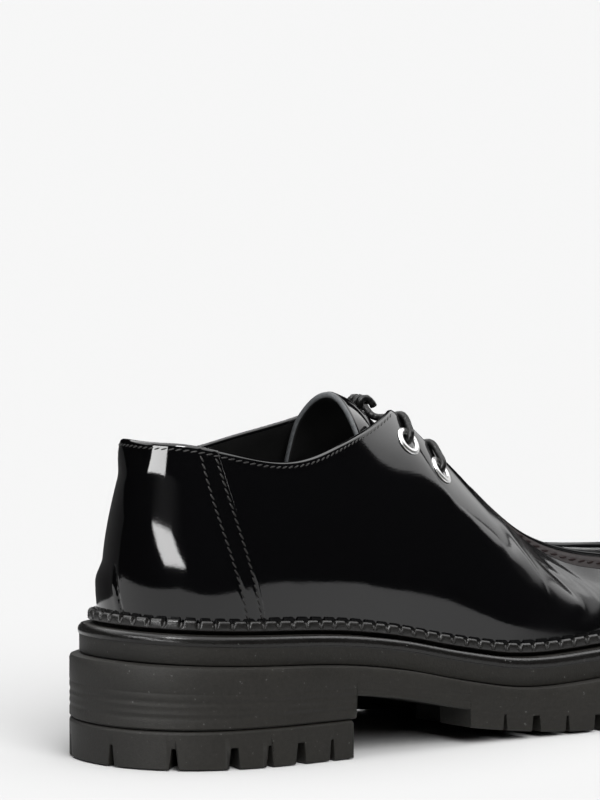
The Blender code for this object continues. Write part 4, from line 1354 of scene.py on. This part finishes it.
tongue_x, tongue_across = np.meshgrid(np.linspace(TONGUE[-1][0], TONGUE[0][0], TONGUE_GRID[0]),
                                      np.linspace(-1.0, 1.0, TONGUE_GRID[1]), indexing="ij")
tongue_mesh = bmesh.new()
tongue_half = np.where(tongue_across < 0.0, HALF_LATERAL(tongue_x), HALF_MEDIAL(tongue_x))
sheet(tongue_mesh, tongue_points(tongue_x, tongue_across * tongue_half))
RAW_EDGE = cut_edge_material("raw_edge", (0.085, 0.090, 0.095), 0.5)
tongue = add_piece(tongue_mesh, "tongue_leather", [GLOSS_LEATHER, LINING, RAW_EDGE],
                   ["tongue"], close=False)
tongue_shell = tongue.modifiers.new("thickness", "SOLIDIFY")
tongue_shell.thickness = TONGUE_THICK * MM
tongue_shell.offset = -1.0
tongue_shell.material_offset = 1
tongue_shell.material_offset_rim = 2
soften(tongue, TONGUE_ROUND, 60.0)

# Eyelets: polished nickel rings with a short barrel, two on each side. They are turned from one profile and
# pressed through the facing, square to the leather.
EYELETS = (
    # name, x, distance down from the facing's edge
    ("upper", 106.0, 10.3),
    ("lower", 118.9, 11.0),
)
EYELET_PROFILE = (
    # radius, height over the leather
    (2.55, -2.4),
    (2.55, 0.1),
    (2.7, 0.42),
    (3.0, 0.6),
    (3.6, 0.68),
    (4.2, 0.58),
    (4.6, 0.36),
    (4.75, 0.05),
    (4.7, -0.1),
    (3.0, -0.15),
    (2.95, -2.4),
)
EYELET_STEPS = 40
NICKEL_CLOUD = (700.0, 3.0)
NICKEL_COLOURS = ((0.84, 0.83, 0.82), (0.95, 0.95, 0.95))
NICKEL_SHINE = (0.28, 0.40)


def nickel_material():
    """Polished nickel, a little worn and clouded."""
    made, nodes, links, shader = new_material("polished_nickel")
    shader.inputs["Metallic"].default_value = 1.0
    cloud = surface_grain(nodes, *NICKEL_CLOUD)["Fac"]
    links.new(ramp(nodes, links, cloud, MIDDLE_SPAN, *NICKEL_COLOURS), shader.inputs["Base Color"])
    shine = ramp(nodes, links, cloud, (0.4, 0.7), *[[part] * 3 for part in NICKEL_SHINE])
    links.new(shine, shader.inputs["Roughness"])
    return made


NICKEL = nickel_material()


def facing_turn(side, x):
    """Turn of a place along the shoe, on its lateral side (0) or its medial one (1)."""
    return float(turn_at(x)) if side == 0 else FULL_TURN - float(turn_at(x))


for side, side_name in enumerate(("lateral", "medial")):
    for name, x, drop in EYELETS:
        turn = facing_turn(side, x)
        share = share_below_top(turn, drop)
        ring = bmesh.new()
        profile = [ring.verts.new((radius, 0.0, height)) for radius, height in EYELET_PROFILE]
        edges = [ring.edges.new(pair) for pair in zip(profile, profile[1:] + profile[:1])]
        bmesh.ops.spin(ring, geom=profile + edges, cent=(0.0, 0.0, 0.0), axis=(0.0, 0.0, 1.0),
                       angle=FULL_TURN, steps=EYELET_STEPS, use_merge=True)
        facing = Vector((0.0, 0.0, 1.0)).rotation_difference(Vector(wall_normal(turn, share)))
        centre = Vector(wall(turn, share) + PLACE)
        for vertex in ring.verts:
            vertex.co = (centre + facing @ vertex.co) * MM
        add_piece(ring, f"eyelet_{side_name}_{name}_ring", [NICKEL],
                  [f"eyelet_{side_name}_{name}"], smooth_angle=70.0)

# Laces: one thin round waxed lace, in a straight bar at the lower eyelets and drawn from the upper ones
# to a knot on the tongue.
LACE_RADIUS = 1.1
LACE_ROUND = 4
EDGE_AHEAD = 3.0
EDGE_CLEAR = 0.1
BAR_CLEAR = 0.4
BAR_MIDDLE = (-4.0, 0.0, 4.0)
KNOT_BACK = 3.0
KNOT_SIDE = 1.5
KNOT_HALF = 3.4
LOW_BACK = 0.7
LOW_ASIDE = 3.2
END_CLEAR = 0.6
FACING_LIFTS = (
    # share of the way down to the eyelet, height over the leather
    (1.06, -4.0),
    (1.03, -1.0),
    (0.90, 1.0),
    (0.70, 1.5),
    (0.45, 1.25),
    (0.20, 1.15),
)


def lace_material():
    """Waxed round lace: black braid with a soft sheen."""
    made, nodes, links, shader = new_material("waxed_cord")
    where = nodes.new("ShaderNodeTexCoord").outputs["UV"]
    shader.inputs["Base Color"].default_value = (0.0035, 0.0035, 0.0035, 1.0)
    shader.inputs["Roughness"].default_value = 0.36
    shader.inputs["Specular IOR Level"].default_value = 0.35
    weave = nodes.new("ShaderNodeTexWave")
    weave.inputs["Scale"].default_value = 6.0
    links.new(where, weave.inputs["Vector"])
    bump = nodes.new("ShaderNodeBump")
    bump.inputs["Strength"].default_value = 0.3
    bump.inputs["Distance"].default_value = 0.0003
    links.new(weave.outputs["Fac"], bump.inputs["Height"])
    links.new(bump.outputs["Normal"], shader.inputs["Normal"])
    return made


WAXED_CORD = lace_material()


def facing_run(side, x, drop):
    """The lace's way out of an eyelet, up the facing and just inside its edge."""
    points = []
    for share_down, lift in FACING_LIFTS:
        turn = facing_turn(side, x + EDGE_AHEAD * max(0.0, 1.0 - share_down))
        share = share_below_top(turn, drop * share_down)
        points.append(wall(turn, share) + wall_normal(turn, share) * lift)
    turn = facing_turn(side, x + EDGE_AHEAD)
    edge = wall(turn, 1.0)
    inside = np.array((*section_out(turn), 0.0)) * (WALL_THICK + 3.0 * GAP)
    return points + [edge + (0.0, 0.0, LACE_RADIUS + EDGE_CLEAR), edge - inside + (0.0, 0.0, LACE_RADIUS)]


def lace(name, points, stands_for):
    """A round lace along a smooth curve through the points."""
    points = np.array(points)
    travelled = way_along(points)
    count = round(travelled[-1] / LACE_RADIUS)
    fine = np.linspace(0.0, travelled[-1], count + 1)
    smooth = np.stack([spline(travelled, points[:, axis])(fine) for axis in range(3)], axis=-1)
    data = bpy.data.curves.new(name, "CURVE")
    data.dimensions = "3D"
    data.bevel_depth = LACE_RADIUS * MM
    data.bevel_resolution = LACE_ROUND
    data.use_fill_caps = True
    line = data.splines.new("POLY")
    line.points.add(count)
    line.use_smooth = True
    for point, place in zip(line.points, (smooth + PLACE) * MM):
        point.co = (*place, 1.0)
    data.materials.append(WAXED_CORD)
    made = bpy.data.objects.new(name, data)
    bpy.context.scene.collection.objects.link(made)
    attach(made, "root")
    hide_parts(stands_for)
    return made


_, lower_x, lower_drop = EYELETS[1]
lower_middle = [tongue_points(lower_x, y, LACE_RADIUS + BAR_CLEAR) for y in BAR_MIDDLE]
lace("lace_lower_bar", facing_run(0, lower_x, lower_drop) + lower_middle
     + facing_run(1, lower_x, lower_drop)[::-1], "lace_bar_lower")
_, upper_x, upper_drop = EYELETS[0]
for side, name in enumerate(("lateral", "medial")):
    sign = 2.0 * side - 1.0
    low = tongue_points(upper_x - LOW_BACK * KNOT_BACK, KNOT_SIDE + sign * (KNOT_HALF + LOW_ASIDE),
                        LACE_RADIUS + EDGE_CLEAR)
    end = tongue_points(upper_x - KNOT_BACK, KNOT_SIDE + sign * KNOT_HALF, LACE_RADIUS + END_CLEAR)
    lace(f"lace_upper_{name}", facing_run(side, upper_x, upper_drop) + [low, end], f"lace_bar_upper_{name}")

# Knot: the lace's two ends wound three times round each other on the tongue and pulled tight; one short
# cut end stands off it.
KNOT_RADIUS = 1.45
KNOT_TURNS = 3.0
KNOT_PITCH = 2.25
KNOT_LIFT = 2.75
KNOT_STEPS = 48
KNOT_END = (
    # forward of the knot, height over the tongue
    (1.2, 4.0),
    (1.9, 3.7),
)
KNOT_END_DRIFT = 0.12

knot_x = upper_x - KNOT_BACK
knot_middle = tongue_points(knot_x, 0.0, KNOT_LIFT)
knot_out = unit(knot_middle - tongue_points(knot_x, 0.0))
knot_ahead = np.cross((0.0, 1.0, 0.0), knot_out)
knot_points = []
for share in np.linspace(0.0, 1.0, KNOT_STEPS + 1):
    swing = FULL_TURN * KNOT_TURNS * share
    slide = KNOT_SIDE + (0.5 - share) * KNOT_TURNS * KNOT_PITCH
    knot_points.append(knot_middle + np.array((0.0, slide, 0.0))
                       + (knot_ahead * math.sin(swing) + knot_out * math.cos(swing)) * KNOT_RADIUS)
end_y = KNOT_SIDE - 0.5 * KNOT_TURNS * KNOT_PITCH
for ahead, lift in KNOT_END:
    knot_points.append(tongue_points(knot_x + ahead, end_y - KNOT_END_DRIFT * ahead, lift))
knot = lace("lace_knot_turns", knot_points, "lace_knot")
